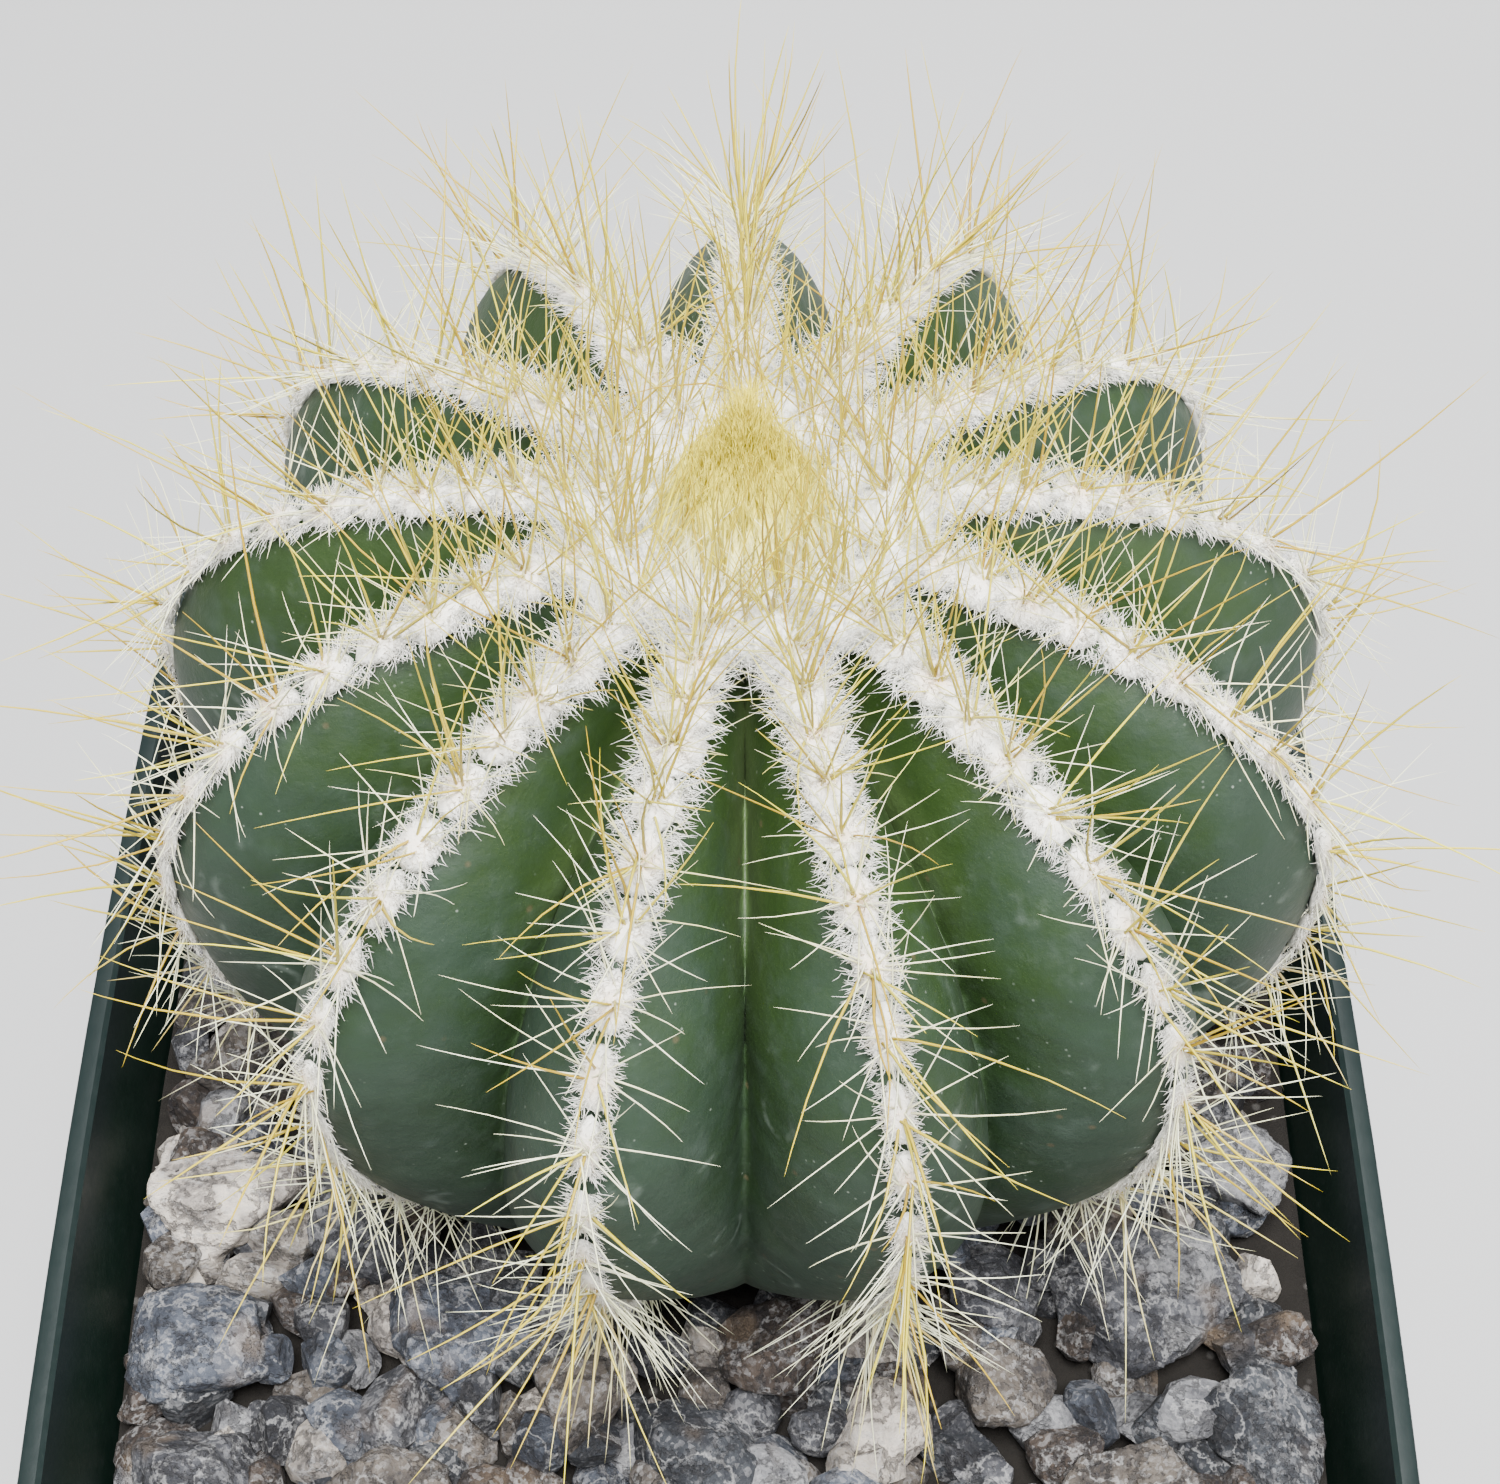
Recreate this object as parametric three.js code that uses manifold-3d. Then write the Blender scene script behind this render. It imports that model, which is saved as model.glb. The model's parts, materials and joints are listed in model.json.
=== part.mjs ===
// A round, ribbed cactus in a square nursery pot, dressed with crushed granite.
// Millimetres, +Z up. The origin is the centre of the pot's foot, and the front of the plant faces -Y.
// The plant is one grown body with a ribbed, flattened globe shape, set a little behind the middle of
// the pot. Each rib carries a row of woolly areoles with spines, and a tuft stands over the crown.

import * as THREE from "three";
import { mergeVertices } from "three/addons/utils/BufferGeometryUtils.js";
import Module from "manifold-3d";

const wasm = await Module();
wasm.setup();

// ---- Driving dimensions -------------------------------------------------------------------------

const clearance = 0.3; // gap kept between pieces that touch

// Pot: a tapered square moulding with rounded corners
const potWidth = 105; // across the lip, at the corners' tangents
const potHeight = 90;
const footWidth = 80;
const potWall = 1;
const floorThickness = 1.4;
const lipReach = 0.9; // how far the lip stands out from the wall
const lipHeight = 3;
const potEdge = 0.5; // small chamfer on the lip and the foot
const rimCorner = 9; // corner radius of the wall at the rim
const footCorner = 7;
const sideBow = 1.2; // how far each side bulges at the rim
const drainRadius = 4.5;
const drainInset = 15; // from the foot's outside to the centre of a drain hole

// Soil and gravel
const soilBelowRim = 13;
const stoneGrade = 12; // the usual length of a stone
const stoneHeight = 7.5;
const stoneCount = 42;

// Plant
const ribCount = 13;
const crestRadius = 45; // from the plant's axis to a rib's crest at the girth
const crownRise = 26; // from the girth up to the shoulder of the crown
const baseDrop = 45; // from the girth down to the root collar
const buriedDepth = 4; // how far the root collar is below the soil's surface
const crownSquareness = 2.3; // 2 is an ellipse, more is squarer in the shoulder
const ribDepth = 12; // from crest to furrow on the shoulder
const furrowEnd = -50; // angle of climb, in degrees from the girth, where a furrow runs out at the base
const furrowFull = 20; // and where it reaches its full depth
const ribOpening = 16; // distance from the axis at which a young rib is two thirds of its full depth
const crownDip = 5; // hollow of the growing point
const crownDipRadius = 8;
const plantRight = 2; // from the pot's middle to the plant's axis
const rimGap = 1.3; // between the pot's back wall and the felt on the plant, at the rim

// Areole rows and crown tuft
const feltWidth = 4.6;
const feltHeight = 1.5;
const feltGap = 0.6; // between the felt and the skin's facets
const spineLength = 12;
const spineRadius = 0.45;
const tuftRadius = 9.5;
const tuftRise = 19; // from the hollow of the crown to the tuft's tip

// ---- Values that follow -------------------------------------------------------------------------

const soilTop = potHeight - soilBelowRim;
const girthHeight = soilTop - buriedDepth + baseDrop;
const ribAngle = (2 * Math.PI) / ribCount;
const degrees = THREE.MathUtils.degToRad;
const rimClimb = Math.asin(Math.max((girthHeight - potHeight) / baseDrop, 0));
const reachAtRim = crestRadius * Math.cos(rimClimb) + feltGap + feltHeight;
const plantBack = potWidth / 2 - lipReach - potWall - reachAtRim - rimGap; // the plant is nearer the back
const plantAxis = new THREE.Vector3(plantRight, plantBack, girthHeight);

// ---- Materials ----------------------------------------------------------------------------------

const finish = (color, roughness) => new THREE.MeshStandardMaterial({ color, roughness, metalness: 0 });
const potPlastic = finish(0x24483a, 0.45);
const darkSoil = finish(0x3a2c20, 0.95);
const cactusSkin = finish(0x4a7350, 0.55);
const woolAndSpine = finish(0xe9dfb6, 0.9);
const stoneColours = [0x8b8d90, 0xa5a6a6, 0x74777b, 0xb9a48c, 0xc9b7a2];
const stoneFinishes = stoneColours.map((colour) => finish(colour, 0.85));

// ---- Small tools --------------------------------------------------------------------------------

const part = new THREE.Group();

function addPiece(name, geometry, material) {
  const mesh = new THREE.Mesh(geometry, material);
  mesh.name = name;
  part.add(mesh);
  return mesh;
}

// A repeatable run of numbers from 0 to 1.
function dice(seed) {
  let state = seed;
  return () => {
    state = (state + 0x6d2b79f5) | 0;
    let t = Math.imul(state ^ (state >>> 15), 1 | state);
    t = (t + Math.imul(t ^ (t >>> 7), 61 | t)) ^ t;
    return ((t ^ (t >>> 14)) >>> 0) / 4294967296;
  };
}

function indexed(points, triangles) {
  const geometry = new THREE.BufferGeometry();
  geometry.setAttribute("position", new THREE.Float32BufferAttribute(points.flatMap((p) => p.toArray()), 3));
  geometry.setIndex(triangles);
  return geometry;
}

function toSolid(geometry) {
  const bare = geometry.clone();
  bare.deleteAttribute("normal");
  bare.deleteAttribute("uv");
  const merged = mergeVertices(bare, 1e-4);
  return new wasm.Manifold(
    new wasm.Mesh({
      numProp: 3,
      vertProperties: new Float32Array(merged.attributes.position.array),
      triVerts: new Uint32Array(merged.index.array),
    }),
  );
}

function toGeometry(solid) {
  const mesh = solid.getMesh();
  const geometry = new THREE.BufferGeometry();
  geometry.setAttribute("position", new THREE.BufferAttribute(mesh.vertProperties, 3));
  geometry.setIndex(new THREE.BufferAttribute(mesh.triVerts, 1));
  return geometry;
}

// Skins a stack of rings, each with the same number of points and running anticlockwise seen from
// above, and closes both ends. A stack that climbs outside and comes down inside makes a hollow shell.
function skinRings(rings) {
  const count = rings[0].length;
  const points = rings.flat();
  const triangles = [];
  for (let level = 0; level + 1 < rings.length; level += 1) {
    for (let k = 0; k < count; k += 1) {
      const a = level * count + k;
      const b = level * count + ((k + 1) % count);
      triangles.push(a, b, b + count, a, b + count, a + count);
    }
  }
  const closeEnd = (ring, first, forward) => {
    const centre = new THREE.Vector3();
    ring.forEach((p) => centre.addScaledVector(p, 1 / count));
    points.push(centre);
    for (let k = 0; k < count; k += 1) {
      const a = first + k;
      const b = first + ((k + 1) % count);
      triangles.push(points.length - 1, forward ? a : b, forward ? b : a);
    }
  };
  closeEnd(rings[0], 0, false);
  closeEnd(rings[rings.length - 1], (rings.length - 1) * count, true);
  return indexed(points, triangles);
}

// ---- Pot and soil -------------------------------------------------------------------------------

// Where the outside of the pot's wall is at a height: half its width, its corner radius and its bow.
function wallAt(height) {
  const share = height / potHeight;
  return {
    half: THREE.MathUtils.lerp(footWidth / 2, potWidth / 2 - lipReach, share),
    corner: THREE.MathUtils.lerp(footCorner, rimCorner, share),
    bow: sideBow * share,
  };
}

// A ring round the pot at a height, set in from the outside of the wall by an inset.
function squareRing(height, inset) {
  const cornerSteps = 4;
  const sideSteps = 4;
  const { half, corner, bow } = wallAt(height);
  const edge = half - inset;
  const radius = corner - inset;
  const straight = edge - radius;
  const ring = [];
  for (let side = 0; side < 4; side += 1) {
    const turn = new THREE.Matrix4().makeRotationZ((side * Math.PI) / 2);
    const put = (x, y) => ring.push(new THREE.Vector3(x, y, height).applyMatrix4(turn));
    for (let k = 0; k < sideSteps; k += 1) {
      const along = THREE.MathUtils.lerp(-straight, straight, k / sideSteps);
      put(edge + bow * (1 - (along / straight) ** 2), along);
    }
    for (let k = 0; k < cornerSteps; k += 1) {
      const angle = ((k / cornerSteps) * Math.PI) / 2;
      put(straight + radius * Math.cos(angle), straight + radius * Math.sin(angle));
    }
  }
  return ring;
}

// Rings up or down a wall between two heights. Enough of them keep the bowed faces true to each other.
function wallRings(from, to, inset) {
  const levels = 4;
  return Array.from({ length: levels + 1 }, (_, k) => squareRing(THREE.MathUtils.lerp(from, to, k / levels), inset));
}

function makePot() {
  const shell = skinRings([
    squareRing(0, potEdge),
    ...wallRings(potEdge, potHeight - lipHeight, 0),
    squareRing(potHeight - lipHeight + potEdge, -lipReach),
    squareRing(potHeight - potEdge, -lipReach),
    squareRing(potHeight, potEdge - lipReach),
    ...wallRings(potHeight, floorThickness, potWall),
  ]);
  let pot = toSolid(shell);
  const reach = footWidth / 2 - drainInset;
  for (const [x, y] of [[-1, -1], [1, -1], [1, 1], [-1, 1]]) {
    const drill = new THREE.CylinderGeometry(drainRadius, drainRadius, floorThickness * 4, 16);
    drill.rotateX(Math.PI / 2).translate(x * reach, y * reach, 0);
    pot = pot.subtract(toSolid(drill));
  }
  addPiece("pot", toGeometry(pot), potPlastic);
}

function makeSoil() {
  const inset = potWall + clearance;
  const fill = skinRings(wallRings(floorThickness + clearance, soilTop, inset));
  const hollow = toSolid(bodyGeometry(clearance));
  addPiece("soil", toGeometry(toSolid(fill).subtract(hollow)), darkSoil);
}

// ---- Cactus body --------------------------------------------------------------------------------

// The crest line of a rib, for an angle of climb from the girth: distance out from the axis and height.
function crestAt(climb) {
  const power = climb > 0 ? 2 / crownSquareness : 1;
  const rise = (climb > 0 ? crownRise : baseDrop) * Math.abs(Math.sin(climb)) ** power;
  return { out: crestRadius * Math.cos(climb) ** power, up: Math.sign(climb) * rise };
}

// How full a rib is across its width: 1 on the crest, 0 in the furrow on either side.
const fullness = (across) => (1 - Math.abs(across) ** 1.6) ** 0.7;

// How deep the furrows are at an angle of climb: shallow on the young crown, gone at the base.
function furrowDepth(climb, out) {
  const young = 1 - Math.exp(-((out / ribOpening) ** 2));
  return ribDepth * young * THREE.MathUtils.smoothstep(climb, degrees(furrowEnd), degrees(furrowFull));
}

// A point of the skin on a rib, or at a distance off it. across runs from -1 to 1 over the rib.
function skinPoint(rib, climb, across, off = 0) {
  const { out, up } = crestAt(climb);
  const dip = climb > 0 ? crownDip * Math.exp(-((out / crownDipRadius) ** 2)) : 0;
  const depth = dip + furrowDepth(climb, out) * (1 - fullness(across));
  const scale = 1 + (off - depth) / Math.hypot(out, up);
  const angle = (rib + 0.5 + across / 2) * ribAngle;
  const reach = out * scale;
  return new THREE.Vector3(-Math.sin(angle) * reach, -Math.cos(angle) * reach, up * scale).add(plantAxis);
}

// Angles of climb from the root collar to the crown, used by the body and by what lies on it.
const climbSteps = 18;
const climbs = Array.from({ length: climbSteps + 1 }, (_, k) => degrees(-88 + (174 * k) / climbSteps));
const acrossSteps = 8;

function bodyGeometry(off = 0) {
  const rings = climbs.map((climb) => {
    const ring = [];
    for (let rib = 0; rib < ribCount; rib += 1) {
      for (let k = 0; k < acrossSteps; k += 1) ring.push(skinPoint(rib, climb, (2 * k) / acrossSteps - 1, off));
    }
    return ring.reverse();
  });
  return skinRings(rings);
}

// ---- Areole rows and crown tuft -----------------------------------------------------------------

// A felt strip that lies along a rib's crest, between two of the body's angles of climb.
function feltStrip(rib, first, last) {
  const rows = [];
  for (let k = first; k <= last; k += 1) {
    const ribWidth = ribAngle * crestAt(climbs[k]).out;
    const half = Math.min(feltWidth / ribWidth, 0.6);
    const under = [-1, -0.5, 0, 0.5, 1].map((s) => skinPoint(rib, climbs[k], s * half, feltGap));
    const over = [0.9, 0, -0.9].map((s) => skinPoint(rib, climbs[k], s * half, feltGap + feltHeight));
    rows.push([...under, ...over]);
  }
  return skinRings(rows);
}

// One stiff spine, a thin cone set in the felt and leaning in the plane of its rib.
function spine(rib, climb, lean) {
  const root = skinPoint(rib, climb, 0, feltGap + feltHeight / 2);
  const above = skinPoint(rib, climb, 0, feltGap + feltHeight);
  const sideways = new THREE.Vector3(Math.cos((rib + 0.5) * ribAngle), -Math.sin((rib + 0.5) * ribAngle), 0);
  const direction = above.sub(root).normalize().applyAxisAngle(sideways, lean);
  const cone = new THREE.ConeGeometry(spineRadius, spineLength, 5);
  cone.translate(0, spineLength / 2, 0);
  cone.applyQuaternion(new THREE.Quaternion().setFromUnitVectors(new THREE.Vector3(0, 1, 0), direction));
  return toSolid(cone.translate(...root.toArray()));
}

function makeAreoleRow(rib) {
  let row = toSolid(feltStrip(rib, 5, climbSteps - 1));
  for (const climb of [65, 50, 35, 20, 5, -10]) {
    for (const lean of [-15, 15]) row = row.add(spine(rib, degrees(climb), degrees(lean)));
  }
  addPiece(`areole_row_${String(rib + 1).padStart(2, "0")}`, toGeometry(row), woolAndSpine);
}

// A soft dome of wool that draws up into a point, cut to sit on the crown.
function makeCrownTuft() {
  const sole = crownRise - crownDip * 2;
  const outline = [
    [0, sole],
    [tuftRadius, sole],
    [tuftRadius, crownRise],
    [tuftRadius * 0.7, crownRise + tuftRise * 0.2],
    [tuftRadius * 0.35, crownRise - crownDip + tuftRise * 0.7],
    [0, crownRise - crownDip + tuftRise],
  ];
  const dome = new THREE.LatheGeometry(outline.map(([out, up]) => new THREE.Vector2(out, up)), 26);
  dome.rotateX(Math.PI / 2).translate(...plantAxis.toArray());
  addPiece("crown_tuft", toGeometry(toSolid(dome).subtract(toSolid(bodyGeometry(clearance)))), woolAndSpine);
}

// ---- Gravel -------------------------------------------------------------------------------------

// The stones that stand out in front of the plant: place from the pot's centre, length, share of
// the length that is its width, and turn in degrees. The others are strewn among them.
const placedStones = [
  { x: 37, y: -21, length: 18, width: 0.75, turn: 15 },
  { x: 46, y: -31, length: 11, width: 0.85, turn: 60 },
  { x: 46, y: -9, length: 9.5, width: 0.85, turn: 80 },
  { x: 23, y: -28, length: 10, width: 0.9, turn: 20 },
  { x: 13, y: -31, length: 8, width: 0.95, turn: 0 },
  { x: 4, y: -22, length: 9.5, width: 0.95, turn: 30 },
  { x: -2, y: -33, length: 11, width: 0.8, turn: 25 },
  { x: -12, y: -29, length: 9, width: 0.85, turn: 100 },
  { x: -23, y: -24, length: 13.5, width: 0.75, turn: 160 },
  { x: -26, y: -35, length: 12, width: 0.7, turn: 10 },
  { x: -33, y: -15, length: 11, width: 0.75, turn: 170 },
  { x: -43, y: -22, length: 12, width: 0.75, turn: 20 },
  { x: -44, y: -12, length: 13, width: 0.85, turn: 35 },
  { x: -42, y: -33, length: 11.5, width: 0.85, turn: 50 },
  { x: -43, y: -1, length: 12, width: 0.7, turn: 15 },
  { x: -46, y: 8, length: 7.5, width: 0.85, turn: 70 },
  { x: 33, y: -36, length: 12, width: 0.6, turn: 5 },
];

// Keeps a stone's centre inside the walls and their rounded corners.
function keepInWalls(stone) {
  const { half, corner } = wallAt(soilTop);
  const limit = half - potWall - clearance - stone.length / 2;
  stone.x = THREE.MathUtils.clamp(stone.x, -limit, limit);
  stone.y = THREE.MathUtils.clamp(stone.y, -limit, limit);
  const straight = half - corner;
  const past = new THREE.Vector2(Math.abs(stone.x) - straight, Math.abs(stone.y) - straight);
  if (past.x > 0 && past.y > 0) {
    past.clampLength(0, Math.max(corner - potWall - clearance - stone.length / 2, 0));
    stone.x = Math.sign(stone.x) * (straight + past.x);
    stone.y = Math.sign(stone.y) * (straight + past.y);
  }
}

// How close a stone's centre may come to the plant's axis: clear of the body and its felt.
function plantLimit(stone) {
  const top = Math.asin(Math.min(0.99, (girthHeight - soilTop - stoneHeight) / baseDrop));
  return crestAt(-top).out + feltGap + feltHeight + clearance + stone.length / 2;
}

// Moves a stone out of the plant, then back inside the walls.
function keepInBed(stone) {
  const away = new THREE.Vector2(stone.x - plantRight, stone.y - plantBack);
  if (away.length() < plantLimit(stone)) {
    away.setLength(plantLimit(stone));
    stone.x = plantRight + away.x;
    stone.y = plantBack + away.y;
  }
  keepInWalls(stone);
}

const wedgedShrink = 0.99;

// The room between two stones' outlines.
const roomBetween = (a, b) => Math.hypot(b.x - a.x, b.y - a.y) - (a.length + b.length) / 2;

// Drops a stone at the emptiest of a few places.
function strewStone(stones, roll) {
  const size = { length: stoneGrade * (0.7 + 0.4 * roll()), width: 0.7 + 0.25 * roll(), turn: 360 * roll() };
  const places = Array.from({ length: 60 }, () => {
    const stone = { x: (roll() - 0.5) * potWidth, y: (roll() - 0.5) * potWidth, strewn: true, ...size };
    keepInBed(stone);
    const plantRoom = Math.hypot(stone.x - plantRight, stone.y - plantBack) - plantLimit(stone);
    return { stone, room: Math.min(plantRoom + clearance, ...stones.map((other) => roomBetween(stone, other))) };
  });
  stones.push(places.reduce((best, place) => (place.room > best.room ? place : best)).stone);
}

// Pushes two stones apart where they touch. A strewn one makes way for a placed one. Two that have
// been wedged together for long are smaller stones.
function pushApart(a, b, wedged) {
  const lack = clearance - roomBetween(a, b);
  if (lack <= 0) return;
  const yields = a.strewn === b.strewn ? 0.5 : Number(Boolean(a.strewn));
  const apart = new THREE.Vector2(b.x - a.x, b.y - a.y);
  if (apart.length() === 0) apart.x = 1; // both on one spot
  apart.setLength(lack);
  if (wedged && lack > clearance) {
    a.length *= wedgedShrink;
    b.length *= wedgedShrink;
  }
  a.x -= apart.x * yields;
  a.y -= apart.y * yields;
  b.x += apart.x * (1 - yields);
  b.y += apart.y * (1 - yields);
}

// Stones side by side over the bed. One that still has no room is a smaller stone.
function layStones() {
  const roll = dice(7);
  const stones = placedStones.map((stone) => ({ ...stone }));
  while (stones.length < stoneCount) strewStone(stones, roll);
  const rounds = 400;
  for (let round = 0; round < rounds; round += 1) {
    const wedged = round > rounds / 2;
    stones.forEach((a, i) => stones.slice(i + 1).forEach((b) => pushApart(a, b, wedged)));
    stones.forEach(keepInBed);
  }
  stones.forEach((a, i) => {
    stones.forEach((b, j) => {
      if (i === j) return;
      const room = Math.hypot(b.x - a.x, b.y - a.y) - clearance;
      const shrink = Math.min(1, room / ((a.length + b.length) / 2));
      a.length *= shrink;
      b.length *= shrink;
    });
    const axisRoom = Math.hypot(a.x - plantRight, a.y - plantBack) - plantLimit({ length: 0 });
    a.length = Math.min(a.length, 2 * axisRoom);
  });
  return stones;
}

// A crushed stone: a ball cut back by a few broken faces, then drawn out, turned and set down.
function makeStone(stone, number) {
  const roll = dice(100 + number);
  const ball = new THREE.IcosahedronGeometry(1, 1);
  ball.deleteAttribute("normal");
  ball.deleteAttribute("uv");
  const rock = mergeVertices(ball, 1e-4);
  const breaks = Array.from({ length: 9 }, () => {
    const normal = new THREE.Vector3(roll() - 0.5, roll() - 0.5, roll() - 0.5).normalize();
    return new THREE.Plane(normal, -(0.68 + 0.2 * roll()));
  });
  const spots = rock.attributes.position;
  for (let k = 0; k < spots.count; k += 1) {
    const spot = new THREE.Vector3().fromBufferAttribute(spots, k);
    spot.multiplyScalar(0.93 + 0.07 * roll());
    for (const face of breaks) {
      const proud = face.distanceToPoint(spot);
      if (proud > 0) spot.addScaledVector(face.normal, -0.96 * proud);
    }
    spots.setXYZ(k, ...spot.toArray());
  }
  rock.computeBoundingBox();
  const whole = rock.boundingBox.getSize(new THREE.Vector3());
  const height = Math.min(stoneHeight * (0.85 + 0.25 * roll()), stone.length * 0.95);
  rock.center().scale(1 / whole.x, stone.width / whole.y, height / (stone.length * whole.z));
  rock.computeBoundingSphere();
  rock.scale(...Array(3).fill((0.97 * stone.length) / 2 / rock.boundingSphere.radius));
  rock.rotateY(degrees(16 * (roll() - 0.5)));
  rock.rotateZ(degrees(stone.turn));
  rock.computeBoundingBox();
  rock.translate(stone.x, stone.y, soilTop + clearance - rock.boundingBox.min.z);
  const finishNumber = Math.floor(roll() * stoneFinishes.length);
  addPiece(`stone_${String(number + 1).padStart(2, "0")}`, rock, stoneFinishes[finishNumber]);
}

// ---- The whole part -----------------------------------------------------------------------------

makePot();
makeSoil();
addPiece("cactus_body", bodyGeometry(), cactusSkin);
for (let rib = 0; rib < ribCount; rib += 1) makeAreoleRow(rib);
makeCrownTuft();
layStones().forEach(makeStone);

export default part;
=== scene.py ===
# %% [markdown]
# # A round cactus in a square pot
#
# The plant is a flattened green globe with thirteen ribs. Every rib carries a row of areoles, which
# are small woolly cushions with stiff spines set in them. It stands in a thin plastic nursery pot
# that is dressed with crushed granite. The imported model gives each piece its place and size, and
# this lesson gives each piece its real shape and its finish.

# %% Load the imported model
import json
import math

import bpy
import numpy as np
from mathutils import Matrix, Vector, noise

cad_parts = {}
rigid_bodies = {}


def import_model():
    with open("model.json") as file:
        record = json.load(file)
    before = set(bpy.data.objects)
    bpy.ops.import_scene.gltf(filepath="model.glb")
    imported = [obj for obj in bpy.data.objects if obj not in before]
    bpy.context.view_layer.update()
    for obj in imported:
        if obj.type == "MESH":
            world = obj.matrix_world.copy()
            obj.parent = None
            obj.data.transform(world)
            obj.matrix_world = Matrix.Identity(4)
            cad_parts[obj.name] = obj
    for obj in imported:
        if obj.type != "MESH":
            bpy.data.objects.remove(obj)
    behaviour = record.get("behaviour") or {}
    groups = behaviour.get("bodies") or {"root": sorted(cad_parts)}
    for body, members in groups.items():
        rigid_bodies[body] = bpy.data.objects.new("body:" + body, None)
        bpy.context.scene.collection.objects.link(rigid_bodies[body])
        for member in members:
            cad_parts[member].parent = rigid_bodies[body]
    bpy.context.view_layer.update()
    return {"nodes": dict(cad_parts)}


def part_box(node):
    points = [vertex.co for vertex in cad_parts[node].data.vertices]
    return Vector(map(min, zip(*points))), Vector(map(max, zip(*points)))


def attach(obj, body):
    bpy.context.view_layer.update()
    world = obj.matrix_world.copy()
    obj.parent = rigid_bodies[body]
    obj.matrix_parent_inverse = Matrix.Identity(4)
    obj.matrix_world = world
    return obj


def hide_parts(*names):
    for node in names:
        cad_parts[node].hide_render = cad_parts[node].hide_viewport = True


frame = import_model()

MM = 0.001

# %% [markdown]
# ## Sizes from the frame
#
# The rim, the soil and the plant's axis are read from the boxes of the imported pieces, so that all
# that is modelled here lands on them. The rib at the very back lies on the plant's middle line, and
# the widest ribs to the left and right stand a little off the cross line. The pot's wall is worked
# out here as well, because nothing that grows on the plant may run into it.

# %% Driving sizes
RIBS = 13
RIB_ANGLE = 2 * math.pi / RIBS
pot_low, pot_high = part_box("pot")
body_low, body_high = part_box("cactus_body")

widest = max(abs(math.sin((k + 0.5) * RIB_ANGLE)) for k in range(RIBS))
CREST_RADIUS = (body_high[0] - body_low[0]) / 2 / widest
BASE_DROP = CREST_RADIUS
LOWEST_CLIMB = math.radians(88)
CROWN_RISE = 26 * MM
AXIS = np.array([
    (body_low[0] + body_high[0]) / 2,
    body_high[1] - CREST_RADIUS,
    body_low[2] + BASE_DROP * math.sin(LOWEST_CLIMB),
])
SOIL_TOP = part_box("soil")[1][2]
SHOULDER_SQUARENESS = 2.3
RIB_DEPTH = 12 * MM
RIB_OPENING = 16 * MM
CROWN_DIP = 5 * MM
CROWN_DIP_RADIUS = 8 * MM
FURROW_END = math.radians(-50)
FURROW_FULL = math.radians(20)
POT_TOP = pot_high[2]
POT_FOOT = 40 * MM
POT_WALL = 1 * MM
POT_LIP = 0.9 * MM
SIDE_BOW = 1.2 * MM
POT_HALF = pot_high[0] - POT_LIP - SIDE_BOW


def half_width(height):
    """Half the outside width of the pot's wall at a height, at its corners."""
    return POT_FOOT + (POT_HALF - POT_FOOT) * height / POT_TOP


def clear_of_pot(spots):
    """True for points above the rim and for points inside the wall."""
    wall = half_width(spots[..., 2]) - POT_WALL - 0.4 * MM
    return (spots[..., 2] > POT_TOP + 0.4 * MM) | (np.abs(spots[..., :2]).max(-1) < wall)


print("crest radius", round(CREST_RADIUS / MM, 2), "mm, girth at", AXIS.round(4))

# %% [markdown]
# ## The camera comes first
#
# The plant is looked down on from the front at fifty-five degrees from close by, so the near ribs
# look large and the pot's sides run together towards the back. A real lens that close gives strong
# perspective, and a long lens from far off would lose it.

# %% Camera
VIEW_CLIMB = math.radians(55)
VIEW_DISTANCE = 4.232 * CREST_RADIUS
camera_data = bpy.data.cameras.new("camera")
camera_data.sensor_width = 36
camera_data.lens = 58.82
camera_data.clip_start = 0.01
camera_data.shift_x = 0.0033
camera_data.shift_y = -0.0147
camera = bpy.data.objects.new("camera", camera_data)
backward = Vector((0, -math.cos(VIEW_CLIMB), math.sin(VIEW_CLIMB)))
camera.location = Vector(AXIS) + backward * VIEW_DISTANCE
camera.rotation_euler = (math.pi / 2 - VIEW_CLIMB, 0, 0)
bpy.context.scene.collection.objects.link(camera)
bpy.context.scene.camera = camera
print("camera stands", round(VIEW_DISTANCE, 4), "m from the plant")

# %% [markdown]
# ## Floor and light
#
# A pale floor and large soft lamps. The key lamp is high overhead, a little in front of the plant.
# It makes the wool glow and lets the flanks darken towards the base. A weaker lamp fills from the
# right, and another picks out the spines from behind.


# %% Floor and lamps
def add_lamp(name, spot, aim, size, power):
    data = bpy.data.lights.new(name, "AREA")
    data.shape = "DISK"
    data.size = size
    data.energy = power
    lamp = bpy.data.objects.new(name, data)
    lamp.location = spot
    lamp.rotation_euler = (Vector(aim) - Vector(spot)).to_track_quat("-Z", "Y").to_euler()
    bpy.context.scene.collection.objects.link(lamp)


add_lamp("key", (0.02, -0.15, 0.87), AXIS, 0.40, 29.0)
add_lamp("fill", (0.55, -0.40, 0.50), AXIS, 0.6, 3.5)
add_lamp("back_light", (0.10, 0.60, 0.60), AXIS, 0.4, 6.0)

world = bpy.data.worlds.new("studio")
world.use_nodes = True
world.node_tree.nodes["Background"].inputs["Color"].default_value = (0.85, 0.89, 0.95, 1)
world.node_tree.nodes["Background"].inputs["Strength"].default_value = 0.62
bpy.context.scene.world = world

# %% [markdown]
# ## Shader sums in plain Python
#
# A finish is a small network of nodes. Writing every Math node out hides the idea, so a signal
# knows how to add, multiply and subtract itself, and a finish has one method that makes any other
# node from its type, its settings and what goes into its sockets.


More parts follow.
